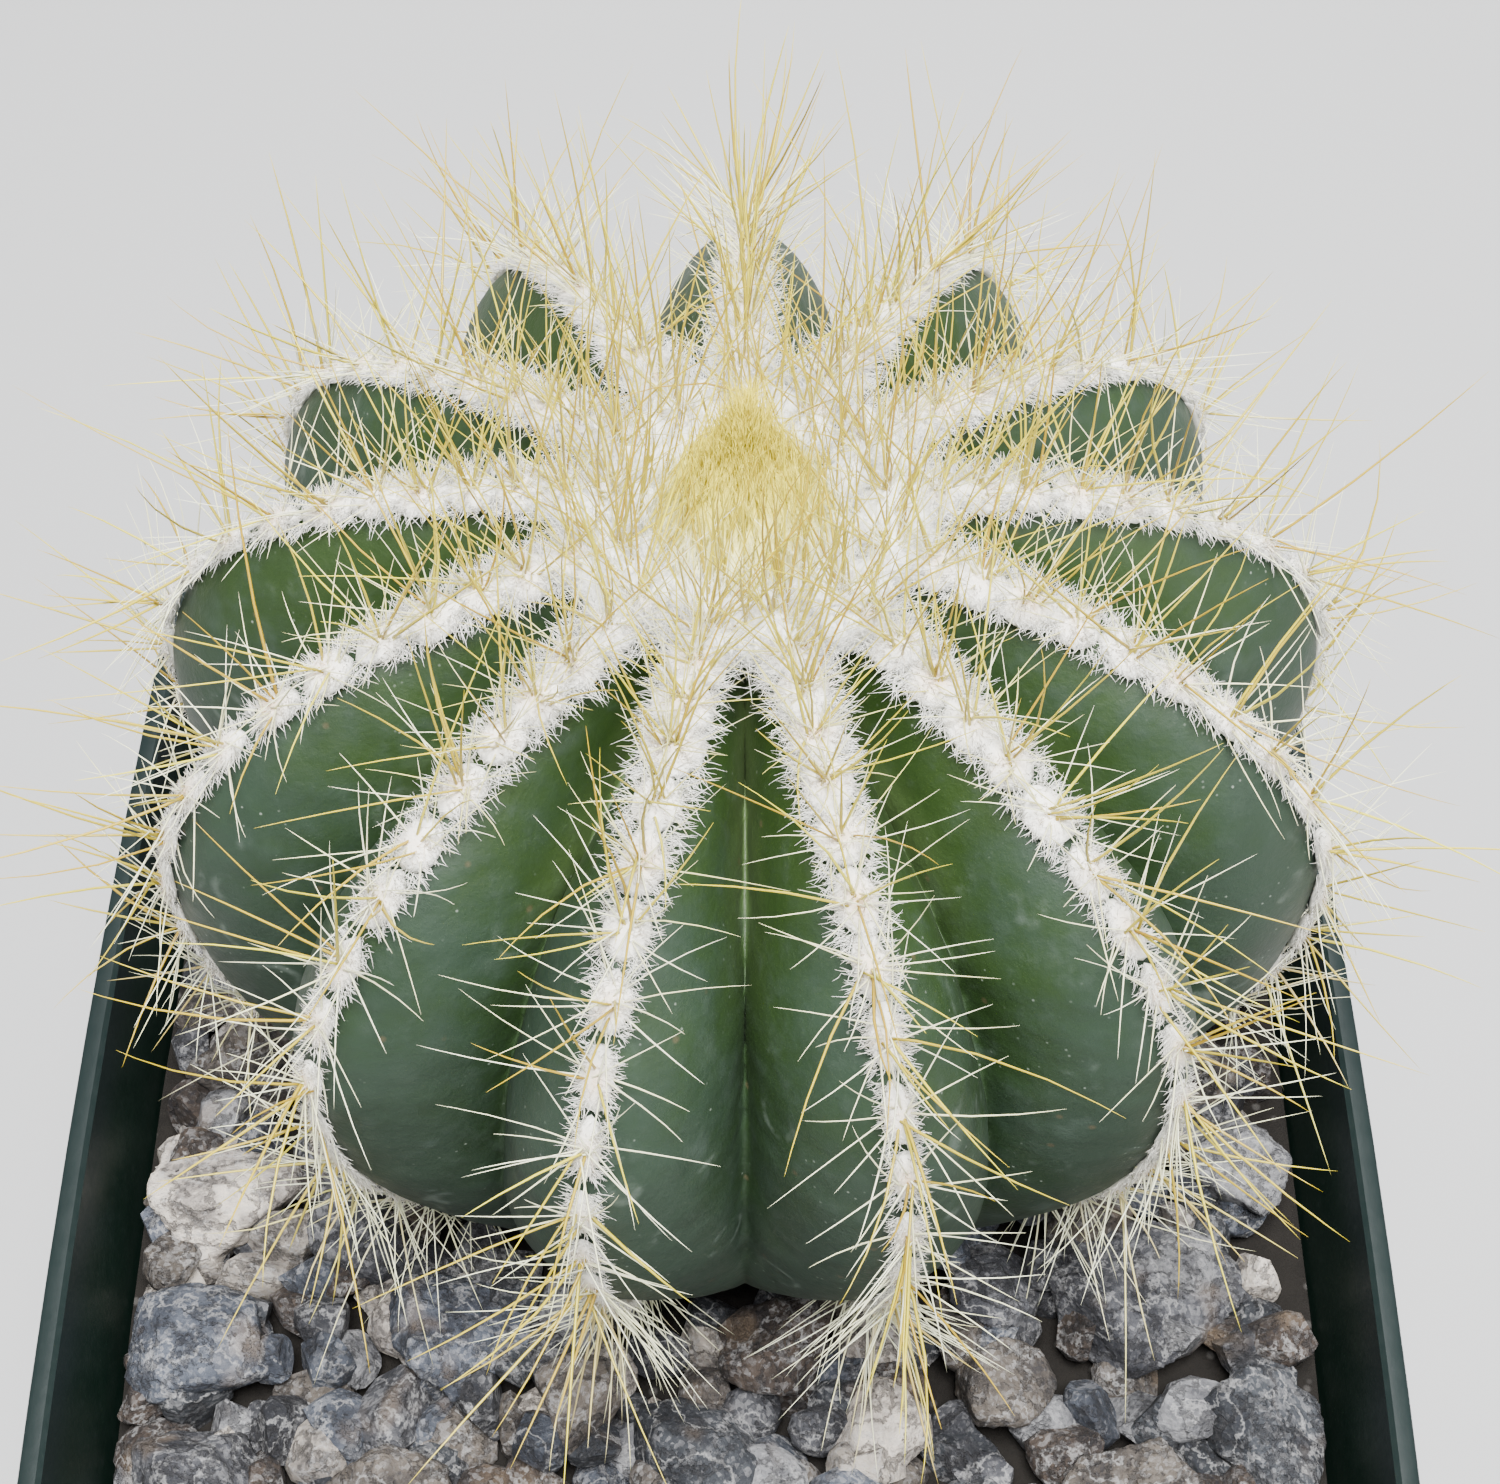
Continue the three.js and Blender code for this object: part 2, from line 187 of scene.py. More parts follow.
# %% Signals and finishes
class Signal:
    """A number or colour that comes out of a node of a finish."""

    def __init__(self, finish, socket):
        self.finish = finish
        self.socket = socket

    def maths(self, operation, first, second):
        return self.finish.node("ShaderNodeMath", {"operation": operation}, {0: first, 1: second})

    def __add__(self, other):
        return self.maths("ADD", self, other)

    def __sub__(self, other):
        return self.maths("SUBTRACT", self, other)

    def __rsub__(self, other):
        return self.maths("SUBTRACT", other, self)

    def __mul__(self, other):
        return self.maths("MULTIPLY", self, other)

    def __abs__(self):
        return self.maths("ABSOLUTE", self, 0.0)

    __radd__ = __add__
    __rmul__ = __mul__


class Finish:
    """A material with one Principled shader, built node by node."""

    def __init__(self, name, **constants):
        self.material = bpy.data.materials.new(name)
        self.material.use_nodes = True
        self.tree = self.material.node_tree
        self.shader = self.tree.nodes["Principled BSDF"]
        for socket, value in constants.items():
            self.shader.inputs[socket.replace("_", " ")].default_value = value

    def node(self, kind, settings=None, inputs=None, output=0):
        made = self.tree.nodes.new(kind)
        for key, value in (settings or {}).items():
            setattr(made, key, value)
        for key, value in (inputs or {}).items():
            self.feed(made.inputs[key], value)
        return Signal(self, made.outputs[output])

    def feed(self, socket, value):
        if isinstance(value, Signal):
            self.tree.links.new(value.socket, socket)
        elif isinstance(value, tuple) and len(value) == 3 and socket.type == "RGBA":
            socket.default_value = (*value, 1)
        else:
            socket.default_value = value

    def out(self, **sockets):
        for socket, value in sockets.items():
            self.feed(self.shader.inputs[socket.replace("_", " ")], value)
        return self.material

    def place(self):
        return self.node("ShaderNodeTexCoord", output="Object")

    def noise(self, size, detail=4.0, rough=0.55):
        """Cloudy noise whose blotches are about size metres across."""
        inputs = {"Vector": self.place(), "Scale": 1 / size, "Detail": detail, "Roughness": rough}
        return self.node("ShaderNodeTexNoise", {}, inputs, "Fac")

    def cells(self, size, output="Distance"):
        """Cells about size metres across: the distance to a cell's middle, or its own colour."""
        return self.node("ShaderNodeTexVoronoi", {}, {"Vector": self.place(), "Scale": 1 / size}, output)

    def between(self, signal, low, high):
        """0 below low, 1 above high, and smooth in between."""
        settings = {"interpolation_type": "SMOOTHSTEP", "clamp": True}
        inputs = {"Value": signal, "From Min": low, "From Max": high}
        return self.node("ShaderNodeMapRange", settings, inputs)

    def mix(self, share, first, second, blend="MIX"):
        settings = {"data_type": "RGBA", "blend_type": blend}
        return self.node("ShaderNodeMix", settings, {0: share, 6: first, 7: second}, 2)

    def paint(self, name):
        return self.node("ShaderNodeAttribute", {"attribute_name": name}, {}, "Color")

    def channel(self, colour, index):
        return self.node("ShaderNodeSeparateColor", {}, {0: colour}, index)

    def bump(self, height, depth, under=None):
        inputs = {"Height": height, "Distance": depth}
        if under is not None:
            inputs["Normal"] = under
        return self.node("ShaderNodeBump", {}, inputs)


print("shader helpers ready")

# %% [markdown]
# ## The finishes
#
# The skin is a deep green under a pale waxy bloom that has rubbed off in places, so the two colours
# are mixed by cloudy noise. It is greenest at the young crown and greyest low on the flanks. Its
# furrows are painted darker, partly in their own colour and partly as painted shade, most of all low
# down, and near the crown painted light lifts them. The wool and spines are painted strand by strand,
# since no two are the same yellow.


# %% Cactus skin
def make_skin():
    finish = Finish("skin", Specular_IOR_Level=0.35)
    chart = finish.paint("skin_chart")
    fullness = finish.channel(chart, 0)
    height = finish.channel(chart, 1)
    tone = finish.channel(chart, 2)
    clouds = finish.noise(14 * MM, 5, 0.6)
    mottle = finish.noise(2.2 * MM, 6, 0.65)
    ridge = fullness * 0.26 - 0.14
    bloom = finish.between(clouds * 0.8 + mottle * 0.3 + tone * 0.16 - height * 0.3 + ridge, 0.36, 0.70)
    green = finish.mix(height, (0.0075, 0.0215, 0.0055), (0.017, 0.038, 0.005))
    colour = finish.mix(bloom, green, (0.0165, 0.0325, 0.0190))
    dusty = finish.between(mottle, 0.50, 0.78) * 0.35
    colour = finish.mix(dusty, colour, (0.036, 0.054, 0.037))
    pale = finish.between(finish.noise(5 * MM, 3, 0.5), 0.60, 0.78) * (1 - height) * 0.55
    colour = finish.mix(pale, colour, (0.060, 0.084, 0.070))
    drop = finish.cells(5.5 * MM)
    ring = finish.between(drop, 0.22, 0.30) * (1 - finish.between(drop, 0.31, 0.40))
    wetted = finish.between(finish.noise(11 * MM, 4, 0.6), 0.53, 0.60) * finish.between(mottle, 0.40, 0.60)
    colour = finish.mix(ring * wetted * (1 - height) * 0.5, colour, (0.13, 0.16, 0.135))
    # The furrows are painted a darker green, partly the skin's own deeper colour there and partly painted
    # shade in the grooves.
    furrow_tint_and_shade = 1 - finish.between(fullness, 0.0, 0.2)
    colour = finish.mix(furrow_tint_and_shade * (1 - height) * 0.35, colour, (0.010, 0.023, 0.005))
    # A lighter green in the furrows near the crown, partly the young skin's own colour and partly painted
    # light that lifts the shade of the deep grooves.
    young = (1 - finish.between(fullness, 0.05, 0.55)) * finish.between(height, 0.42, 0.82)
    colour = finish.mix(young * 0.85, colour, (0.088, 0.138, 0.045))
    specks = 1 - finish.between(finish.cells(0.9 * MM), 0.05, 0.16)
    chosen = finish.between(finish.noise(6 * MM, 2), 0.50, 0.66)
    colour = finish.mix(specks * chosen * 0.6, colour, (0.26, 0.30, 0.25))
    scars = 1 - finish.between(finish.cells(4.2 * MM), 0.03, 0.09)
    colour = finish.mix(scars * 0.5, colour, (0.08, 0.06, 0.03))
    grain = finish.bump(finish.noise(0.45 * MM, 3), 0.03 * MM)
    waves = finish.bump(mottle, 0.12 * MM, grain)
    return finish.out(Base_Color=colour, Roughness=mottle * 0.3 + 0.42, Normal=waves)


# %% Wool and spines
def make_wool():
    finish = Finish("wool", Specular_IOR_Level=0.15)
    fuzz = finish.noise(0.5 * MM, 4, 0.7)
    colour = finish.mix(fuzz * 0.15, finish.paint("strand_colour"), (0.88, 0.86, 0.80))
    return finish.out(Base_Color=colour, Roughness=fuzz * 0.15 + 0.8, Normal=finish.bump(fuzz, 0.15 * MM))


def make_spine():
    finish = Finish("spine", Specular_IOR_Level=0.5)
    streak = finish.noise(0.8 * MM, 2)
    colour = finish.mix(streak * 0.2, finish.paint("strand_colour"), (0.54, 0.43, 0.02))
    return finish.out(Base_Color=colour, Roughness=streak * 0.2 + 0.3)


# %% Granite
def make_granite():
    finish = Finish("granite_grit", Specular_IOR_Level=0.25)
    base = finish.paint("stone_colour")
    kind = finish.channel(finish.cells(0.36 * MM, output="Color"), 0)
    patch = finish.noise(4.2 * MM, 6, 0.62)
    fine = finish.noise(0.35 * MM, 4, 0.7)
    dark = finish.mix(1.0, base, (0.42, 0.42, 0.44), "MULTIPLY")
    colour = finish.mix(finish.between(patch, 0.36, 0.62), dark, base)
    white = finish.between(kind * 0.4 + patch * 0.9, 0.66, 0.90)
    colour = finish.mix(white * 0.30, colour, (0.34, 0.335, 0.34))
    black = 1 - finish.between(kind * 0.4 + patch * 0.9, 0.36, 0.58)
    colour = finish.mix(black * 0.5, colour, (0.016, 0.017, 0.022))
    colour = finish.mix(finish.between(fine, 0.52, 0.74) * 0.22, colour, (0.24, 0.235, 0.235))
    fold = abs(finish.noise(3.4 * MM, 6, 0.62) - 0.5)
    crevice_shade_lines = 1 - finish.between(fold, 0.004, 0.040)
    vein = 1 - finish.between(abs(finish.noise(5.2 * MM, 5, 0.6) - 0.47), 0.003, 0.022)
    colour = finish.mix(vein * 0.4, colour, (0.38, 0.375, 0.37))
    # Near black along the crevice lines: painted shade in the cracks.
    colour = finish.mix(crevice_shade_lines * 0.55, colour, (0.020, 0.019, 0.020))
    stain = finish.between(finish.noise(7 * MM, 2), 0.58, 0.72) * 0.3
    colour = finish.mix(stain, colour, (0.20, 0.14, 0.085))
    rough = finish.bump(finish.noise(1.3 * MM, 6, 0.7) - crevice_shade_lines * 0.35, 0.6 * MM)
    pits = finish.bump(fine, 0.16 * MM, rough)
    return finish.out(Base_Color=colour, Roughness=0.9 - kind * 0.15, Normal=pits)


# %% Plastic and soil
def make_plastic():
    finish = Finish("pot_green", Specular_IOR_Level=0.28)
    film = finish.noise(9 * MM, 5, 0.6)
    scuffs = finish.noise(1.3 * MM, 6, 0.75)
    colour = finish.mix(film, (0.0015, 0.0070, 0.0042), (0.0030, 0.0105, 0.0070))
    dust = finish.between(scuffs, 0.56, 0.74) * 0.3
    colour = finish.mix(dust, colour, (0.016, 0.023, 0.021))
    lip_sheen = finish.between(finish.channel(finish.paint("lip"), 0), 0.2, 0.9)
    # The lip is painted a lighter, bluer green: a painted sheen where the rim catches the light.
    colour = finish.mix(lip_sheen * 0.8, colour, (0.0048, 0.0098, 0.0098))
    satin = finish.bump(finish.noise(0.7 * MM, 3), 0.02 * MM)
    return finish.out(Base_Color=colour, Roughness=scuffs * 0.35 + 0.30, Normal=satin)


def make_soil():
    finish = Finish("soil_mix", Specular_IOR_Level=0.2)
    crumbs = finish.noise(1.8 * MM, 6, 0.7)
    fibres = finish.cells(2.4 * MM)
    colour = finish.mix(crumbs, (0.003, 0.0025, 0.002), (0.014, 0.012, 0.010))
    grit = 1 - finish.between(fibres, 0.08, 0.2)
    colour = finish.mix(grit * 0.4, colour, (0.09, 0.085, 0.08))
    clods = finish.bump(crumbs, 0.6 * MM)
    return finish.out(Base_Color=colour, Roughness=crumbs * 0.1 + 0.88, Normal=clods)


def make_floor():
    finish = Finish("pale_floor", Roughness=0.7)
    cloud = finish.noise(0.12, 3)
    away = finish.node("ShaderNodeVectorMath", {"operation": "LENGTH"}, {0: finish.place()}, 1)
    colour = finish.mix(cloud * 0.3, (0.38, 0.38, 0.38), (0.34, 0.34, 0.34))
    return finish.out(Base_Color=colour, Alpha=1 - finish.between(away, 0.40, 1.00))


SKIN, WOOL, SPINE = make_skin(), make_wool(), make_spine()
GRANITE, PLASTIC, SOIL = make_granite(), make_plastic(), make_soil()
print("finishes:", [m.name for m in (SKIN, WOOL, SPINE, GRANITE, PLASTIC, SOIL)])


# %% [markdown]
# ## Working by hand in code
#
# Every operator acts on what is selected, so each step starts by clearing the selection. A finished
# piece has its place in its mesh, so its object stays at the origin.


# %% Modelling helpers
def deselect_all():
    if bpy.context.object and bpy.context.object.mode != "OBJECT":
        bpy.ops.object.mode_set(mode="OBJECT")
    bpy.ops.object.select_all(action="DESELECT")


def hold(piece):
    """Makes a piece the one that operators act on."""
    deselect_all()
    piece.select_set(True)
    bpy.context.view_layer.objects.active = piece


def corners(piece):
    spots = np.empty(len(piece.data.vertices) * 3, dtype=np.float32)
    piece.data.vertices.foreach_get("co", spots)
    return spots.reshape(-1, 3).astype(float)


def set_corners(piece, spots):
    piece.data.vertices.foreach_set("co", np.asarray(spots, dtype=np.float32).ravel())
    piece.data.update()


def faces_out(piece):
    hold(piece)
    bpy.ops.object.mode_set(mode="EDIT")
    bpy.ops.mesh.select_all(action="SELECT")
    bpy.ops.mesh.normals_make_consistent(inside=False)
    bpy.ops.object.mode_set(mode="OBJECT")


def apply_modifier(piece, kind, **settings):
    modifier = piece.modifiers.new(kind.lower(), kind)
    for key, value in settings.items():
        setattr(modifier, key, value)
    hold(piece)
    bpy.ops.object.modifier_apply(modifier=modifier.name)


def cloudy(name, size, depth=2):
    """A cloudy texture for a Displace modifier."""
    texture = bpy.data.textures.new(name, "CLOUDS")
    texture.noise_scale = size
    texture.noise_depth = depth
    return texture


def displace(piece, texture, depth):
    apply_modifier(piece, "DISPLACE", texture=texture, strength=depth, texture_coords="LOCAL")


def colour_points(piece, name, colours):
    layer = piece.data.attributes.new(name, "FLOAT_COLOR", "POINT")
    filled = np.ones((len(piece.data.vertices), 4), dtype=np.float32)
    filled[:, :3] = colours
    layer.data.foreach_set("color", filled.ravel())


def dress(piece, finish, slot, *nodes):
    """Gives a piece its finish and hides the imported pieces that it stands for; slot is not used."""
    piece.data.materials.clear()
    piece.data.materials.append(finish)
    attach(piece, "root")
    if nodes:
        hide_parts(*nodes)
    deselect_all()


# %% [markdown]
# ## The shape of the plant
#
# Two curves make the whole body. A rib's crest is a flattened half oval above the girth and a half
# circle below it. The furrow beside it is the same curve drawn in towards the plant's heart: deep on
# the shoulder, shallow on the young crown and gone at the base. Everything that grows on the plant
# asks these functions where the skin is.


# %% Crest and skin
def crest_line(climb):
    """Distance from the axis and height above the girth, for an angle of climb in radians."""
    climb = np.asarray(climb, dtype=float)
    upper = climb > 0
    power = np.where(upper, 2 / SHOULDER_SQUARENESS, 1.0)
    out = CREST_RADIUS * np.abs(np.cos(climb)) ** power
    rise = np.where(upper, CROWN_RISE, BASE_DROP) * np.abs(np.sin(climb)) ** power
    return out, np.sign(climb) * rise


def smooth_step(value, low, high):
    share = np.clip((value - low) / (high - low), 0, 1)
    return share * share * (3 - 2 * share)


def fullness_at(across):
    return (1 - np.minimum(np.abs(across), 1) ** 1.6) ** 0.7


def skin_point(rib, climb, across):
    """A point of the skin. across is -1 and 1 in the furrows and 0 on the crest."""
    climb = np.asarray(climb, dtype=float)
    out, up = crest_line(climb)
    dip = np.where(climb > 0, CROWN_DIP * np.exp(-((out / CROWN_DIP_RADIUS) ** 2)), 0)
    young = 1 - np.exp(-((out / RIB_OPENING) ** 2))
    groove = RIB_DEPTH * young * smooth_step(climb, FURROW_END, FURROW_FULL)
    depth = dip + groove * (1 - fullness_at(across))
    scale = 1 - depth / np.hypot(out, up)
    angle = (rib + 0.5 + np.asarray(across) / 2) * RIB_ANGLE
    reach = out * scale
    return np.stack([-np.sin(angle) * reach, -np.cos(angle) * reach, up * scale], -1) + AXIS


# %% [markdown]
# ## The cactus body
#
# A globe primitive has the right make-up: rings that close on the axis at both ends. Each of its
# rings becomes an angle of climb and each of its meridians a line along a rib. The lines are crowded
# towards the furrows, where the surface turns sharply. One level of subdivision rounds it off.

# %% Body
LINES_PER_RIB = 18
CLIMB_RINGS = 84


def make_body():
    bpy.ops.mesh.primitive_uv_sphere_add(segments=RIBS * LINES_PER_RIB, ring_count=CLIMB_RINGS, radius=1)
    body = bpy.context.object
    body.name = "cactus_flesh"
    ball = corners(body)
    climb = np.arcsin(np.clip(ball[:, 2], -1, 1))
    climb = np.where(climb < 0, climb * LOWEST_CLIMB / (math.pi / 2), climb)
    line = np.round(np.arctan2(ball[:, 1], ball[:, 0]) / RIB_ANGLE * LINES_PER_RIB).astype(int)
    line %= RIBS * LINES_PER_RIB
    rib = line // LINES_PER_RIB
    side = 2 * (line % LINES_PER_RIB) / LINES_PER_RIB - 1
    across = np.sign(side) * (1 - (1 - np.abs(side)) ** 1.5)
    set_corners(body, skin_point(rib, climb, across))
    faces_out(body)
    apply_modifier(body, "SUBSURF", levels=1, render_levels=1)
    displace(body, cloudy("lumps", 9 * MM), 0.7 * MM)
    hold(body)
    bpy.ops.object.shade_smooth()
    return body


def chart_skin(body):
    """Paints each point with how full the rib is there, how high it is, and its rib's own tone."""
    rel = corners(body) - AXIS
    turn = np.arctan2(-rel[:, 0], -rel[:, 1]) / RIB_ANGLE % RIBS
    across = 2 * (turn % 1) - 1
    height = np.clip((rel[:, 2] + 0.3 * BASE_DROP) / (CROWN_RISE + 0.3 * BASE_DROP), 0, 1)
    tones = np.random.default_rng(4).random(RIBS + 1)
    chart = np.stack([fullness_at(across), height**1.6, tones[turn.astype(int)]], -1)
    colour_points(body, "skin_chart", chart)


body = make_body()
chart_skin(body)
dress(body, SKIN, "cactus_skin", "cactus_body")
print("body:", len(body.data.polygons), "faces")

# %% [markdown]
# ## Strands
#
# Spines and wool are the same idea at two sizes: a thin tapered strand, closed at both ends. One is
# modelled by extruding a small circle and drawing each ring in. Thousands of copies are then bent
# along their own curves and joined into one mesh for each rib, because a separate object for each
# strand would be far too heavy.


# %% Strand models
class Model:
    """The points and faces of a finished primitive, kept as numbers."""

    def __init__(self, piece):
        self.points = corners(piece)
        self.loops = np.empty(len(piece.data.loops), dtype=np.int32)
        piece.data.loops.foreach_get("vertex_index", self.loops)
        self.totals = np.empty(len(piece.data.polygons), dtype=np.int32)
        piece.data.polygons.foreach_get("loop_total", self.totals)
        bpy.data.objects.remove(piece)


def model_strand(sides, rings):
    """A strand one unit long and one unit in radius at its root. rings are (height, radius) pairs."""
    bpy.ops.mesh.primitive_circle_add(vertices=sides, radius=1, fill_type="NGON")
    strand = bpy.context.object
    bpy.ops.object.mode_set(mode="EDIT")
    bpy.ops.mesh.select_all(action="SELECT")
    height, radius = 0.0, 1.0
    for next_height, next_radius in rings:
        move = {"value": (0, 0, next_height - height)}
        bpy.ops.mesh.extrude_region_move(TRANSFORM_OT_translate=move)
        bpy.ops.transform.resize(value=(next_radius / radius, next_radius / radius, 1))
        height, radius = next_height, next_radius
    bpy.ops.object.mode_set(mode="OBJECT")
    faces_out(strand)
    return Model(strand)


SPINE_MODEL = model_strand(4, [(0.12, 1.0), (0.4, 0.85), (0.7, 0.6), (0.9, 0.33), (1.0, 0.06)])
WOOL_MODEL = model_strand(3, [(0.35, 0.9), (0.7, 0.65), (1.0, 0.2)])
print("a spine has", len(SPINE_MODEL.totals), "faces and a wool strand", len(WOOL_MODEL.totals))


# %% Growing strands
def unit(vectors):
    return vectors / np.maximum(np.linalg.norm(vectors, axis=-1, keepdims=True), 1e-9)


def mesh_from(name, points, loops, totals):
    mesh = bpy.data.meshes.new(name)
    mesh.vertices.add(len(points))
    mesh.vertices.foreach_set("co", points.astype(np.float32).ravel())
    mesh.loops.add(len(loops))
    mesh.loops.foreach_set("vertex_index", loops.astype(np.int32))
    mesh.polygons.add(len(totals))
    starts = np.concatenate([[0], np.cumsum(totals)[:-1]])
    mesh.polygons.foreach_set("loop_start", starts.astype(np.int32))
    mesh.polygons.foreach_set("use_smooth", np.ones(len(totals), dtype=bool))
    mesh.update(calc_edges=True)
    piece = bpy.data.objects.new(name, mesh)
    bpy.context.scene.collection.objects.link(piece)
    return piece


class Strands:
    """Strands gathered for one piece: where each starts, where it points, and how it looks."""

    def __init__(self, model):
        self.model = model
        self.batches = []

    def add(self, root, way, length, radius, bend, wave, root_colour, tip_colour):
        count = len(root)
        wide = [np.broadcast_to(np.asarray(v, dtype=float), (count, 3)) for v in (root, way, bend, wave)]
        thin = [np.broadcast_to(np.asarray(v, dtype=float), (count,)) for v in (length, radius)]
        paint = [np.broadcast_to(np.asarray(v, dtype=float), (count, 3)) for v in (root_colour, tip_colour)]
        self.batches.append((*wide, *thin, *paint))

    def cut_back(self, length, root, way, bend, wave):
        """Lengths short enough for no strand to run into the pot's wall."""
        t = np.linspace(0.2, 1, 9)[None, :, None]
        path = way[:, None] * t + bend[:, None] * t**2 + wave[:, None] * np.sin(5 * t)
        for _ in range(14):
            clear = clear_of_pot(root[:, None] + length[:, None, None] * path).all(1)
            length = np.where(clear, length, length * 0.85)
        return length

    def mesh(self):
        """All the strands as points, loops, face sizes and colours."""
        root, way, bend, wave, length, radius, start, end = (np.concatenate(p) for p in zip(*self.batches))
        way = unit(way)
        length = self.cut_back(length, root, way, bend, wave)
        side = unit(np.cross(way, np.where(np.abs(way[:, 2:]) < 0.9, [[0.0, 0, 1]], [[1.0, 0, 0]])))
        third = np.cross(way, side)
        points = self.model.points
        t = points[None, :, 2, None]
        size = length[:, None, None]
        path = way[:, None] * t + bend[:, None] * t**2 + wave[:, None] * np.sin(5 * t)
        line = root[:, None] + size * path
        ring = side[:, None] * points[None, :, 0, None] + third[:, None] * points[None, :, 1, None]
        spots = line + ring * radius[:, None, None]
        colours = start[:, None] * (1 - t) + end[:, None] * t
        count, per = len(root), len(points)
        loops = (self.model.loops[None] + per * np.arange(count)[:, None]).ravel()
        totals = np.tile(self.model.totals, count)
        return spots.reshape(-1, 3), loops, totals, np.broadcast_to(colours, spots.shape).reshape(-1, 3)


def join_meshes(name, parts, layer="strand_colour"):
    """One piece from several (points, loops, totals, colours)."""
    shift, loops = 0, []
    for points, part_loops, _, _ in parts:
        loops.append(part_loops + shift)
        shift += len(points)
    points, _, totals, colours = (np.concatenate(numbers) for numbers in zip(*parts))
    piece = mesh_from(name, points, np.concatenate(loops), totals)
    colour_points(piece, layer, colours)
    return piece


# %% [markdown]
# ## Areoles
#
# Areoles sit at growing distances down the crest: packed together on the crown, and over twice as
# far apart lower down, where the rib has stretched. At each one this works out a little frame of
# its own: out from the skin, down the crest, and across the rib.

# %% Places of the areoles
FIRST_CLIMB = math.radians(80)
LAST_CLIMB = math.radians(-44)


def areole_places(rib, rng):
    """Places, outward, downward and sideways directions, and age from 0 at the crown to 1 at the base."""
    climb = np.linspace(FIRST_CLIMB, LAST_CLIMB, 400)
    line = skin_point(rib, climb, np.zeros(400))
    travelled = np.concatenate([[0], np.cumsum(np.linalg.norm(np.diff(line, axis=0), axis=1))])
    stops, along = [], rng.uniform(0, 1.5 * MM)
    while along < travelled[-1]:
        stops.append(along)
        along += (2.9 + 3.6 * min(1, along / (52 * MM))) * MM * rng.uniform(0.92, 1.08)
    chosen = np.interp(stops, travelled, climb)
    step = 0.01
    spots = skin_point(rib, chosen, 0 * chosen)
    down = unit(skin_point(rib, chosen - step, 0 * chosen) - skin_point(rib, chosen + step, 0 * chosen))
    angle = (rib + 0.5) * RIB_ANGLE
    sideways = np.broadcast_to([math.cos(angle), -math.sin(angle), 0.0], spots.shape)
    outward = unit(np.cross(sideways, down))
    outward *= np.sign(np.sum(outward * (spots - AXIS), axis=1, keepdims=True))
    return spots, outward, down, sideways, np.array(stops) / travelled[-1]


# %% [markdown]
# ## Felt and wool
#
# Close up, an areole is a felted cushion with frayed edges. The cushion is a small flattened ball,
# roughened point by point. Curly strands root all over it and lie outwards over its edges. They are
# snow white and long near the crown, and shorter, greyer and grubby near the soil.

# %% Felt cushions
FRESH_WOOL = np.array([0.955, 0.955, 0.925])
OLD_WOOL = np.array([0.74, 0.71, 0.60])
PEACH_HEART = np.array([0.80, 0.56, 0.32])


def model_cushion():
    bpy.ops.mesh.primitive_ico_sphere_add(subdivisions=2, radius=1)
    cushion = bpy.context.object
    spots = corners(cushion)
    spots[:, 2] = np.where(spots[:, 2] < 0, spots[:, 2] * 0.5, spots[:, 2])
    set_corners(cushion, spots)
    return Model(cushion)


CUSHION_MODEL = model_cushion()


def cushion_mesh(points, colours):
    """Loops and face sizes for cushions whose points and colours are given cushion by cushion."""
    count, per = points.shape[:2]
    loops = (CUSHION_MODEL.loops[None] + per * np.arange(count)[:, None]).ravel()
    return points.reshape(-1, 3), loops, np.tile(CUSHION_MODEL.totals, count), colours.reshape(-1, 3)


def felt_sizes(age):
    """Half the width, half the length and the height of an areole's felt, in millimetres."""
    return 2.1 - 1.15 * smooth_step(age, 0.03, 0.5), 2.0 + 0.7 * age, 0.95 - 0.45 * age


def felt_cushions(places, rng):
    spots, outward, down, sideways, age = places
    count = len(spots)
    width, span, height = (size * rng.uniform(0.88, 1.12, count) * MM for size in felt_sizes(age))
    model = CUSHION_MODEL.points
    local = model[None] * (1 + 0.05 * rng.standard_normal((count, len(model), 1)))
    points = (
        spots[:, None]
        + sideways[:, None] * local[..., :1] * width[:, None, None]
        + down[:, None] * local[..., 1:2] * span[:, None, None]
        + outward[:, None] * (local[..., 2:] * height[:, None, None] + 0.05 * MM)
    )
    heart = np.exp(-((model[:, 0] / 0.6) ** 2) - (model[:, 1] / 0.5) ** 2)[None, :, None]
    heart = heart * (model[:, 2] > 0)[None, :, None] * rng.uniform(0.2, 1.0, (count, 1, 1))
    plain = (FRESH_WOOL * (1 - age[:, None]) + OLD_WOOL * age[:, None])[:, None]
    return cushion_mesh(points, plain * (1 - heart) + PEACH_HEART * heart)


# %% Wool strands
WOOL_PER_AREOLE = 275


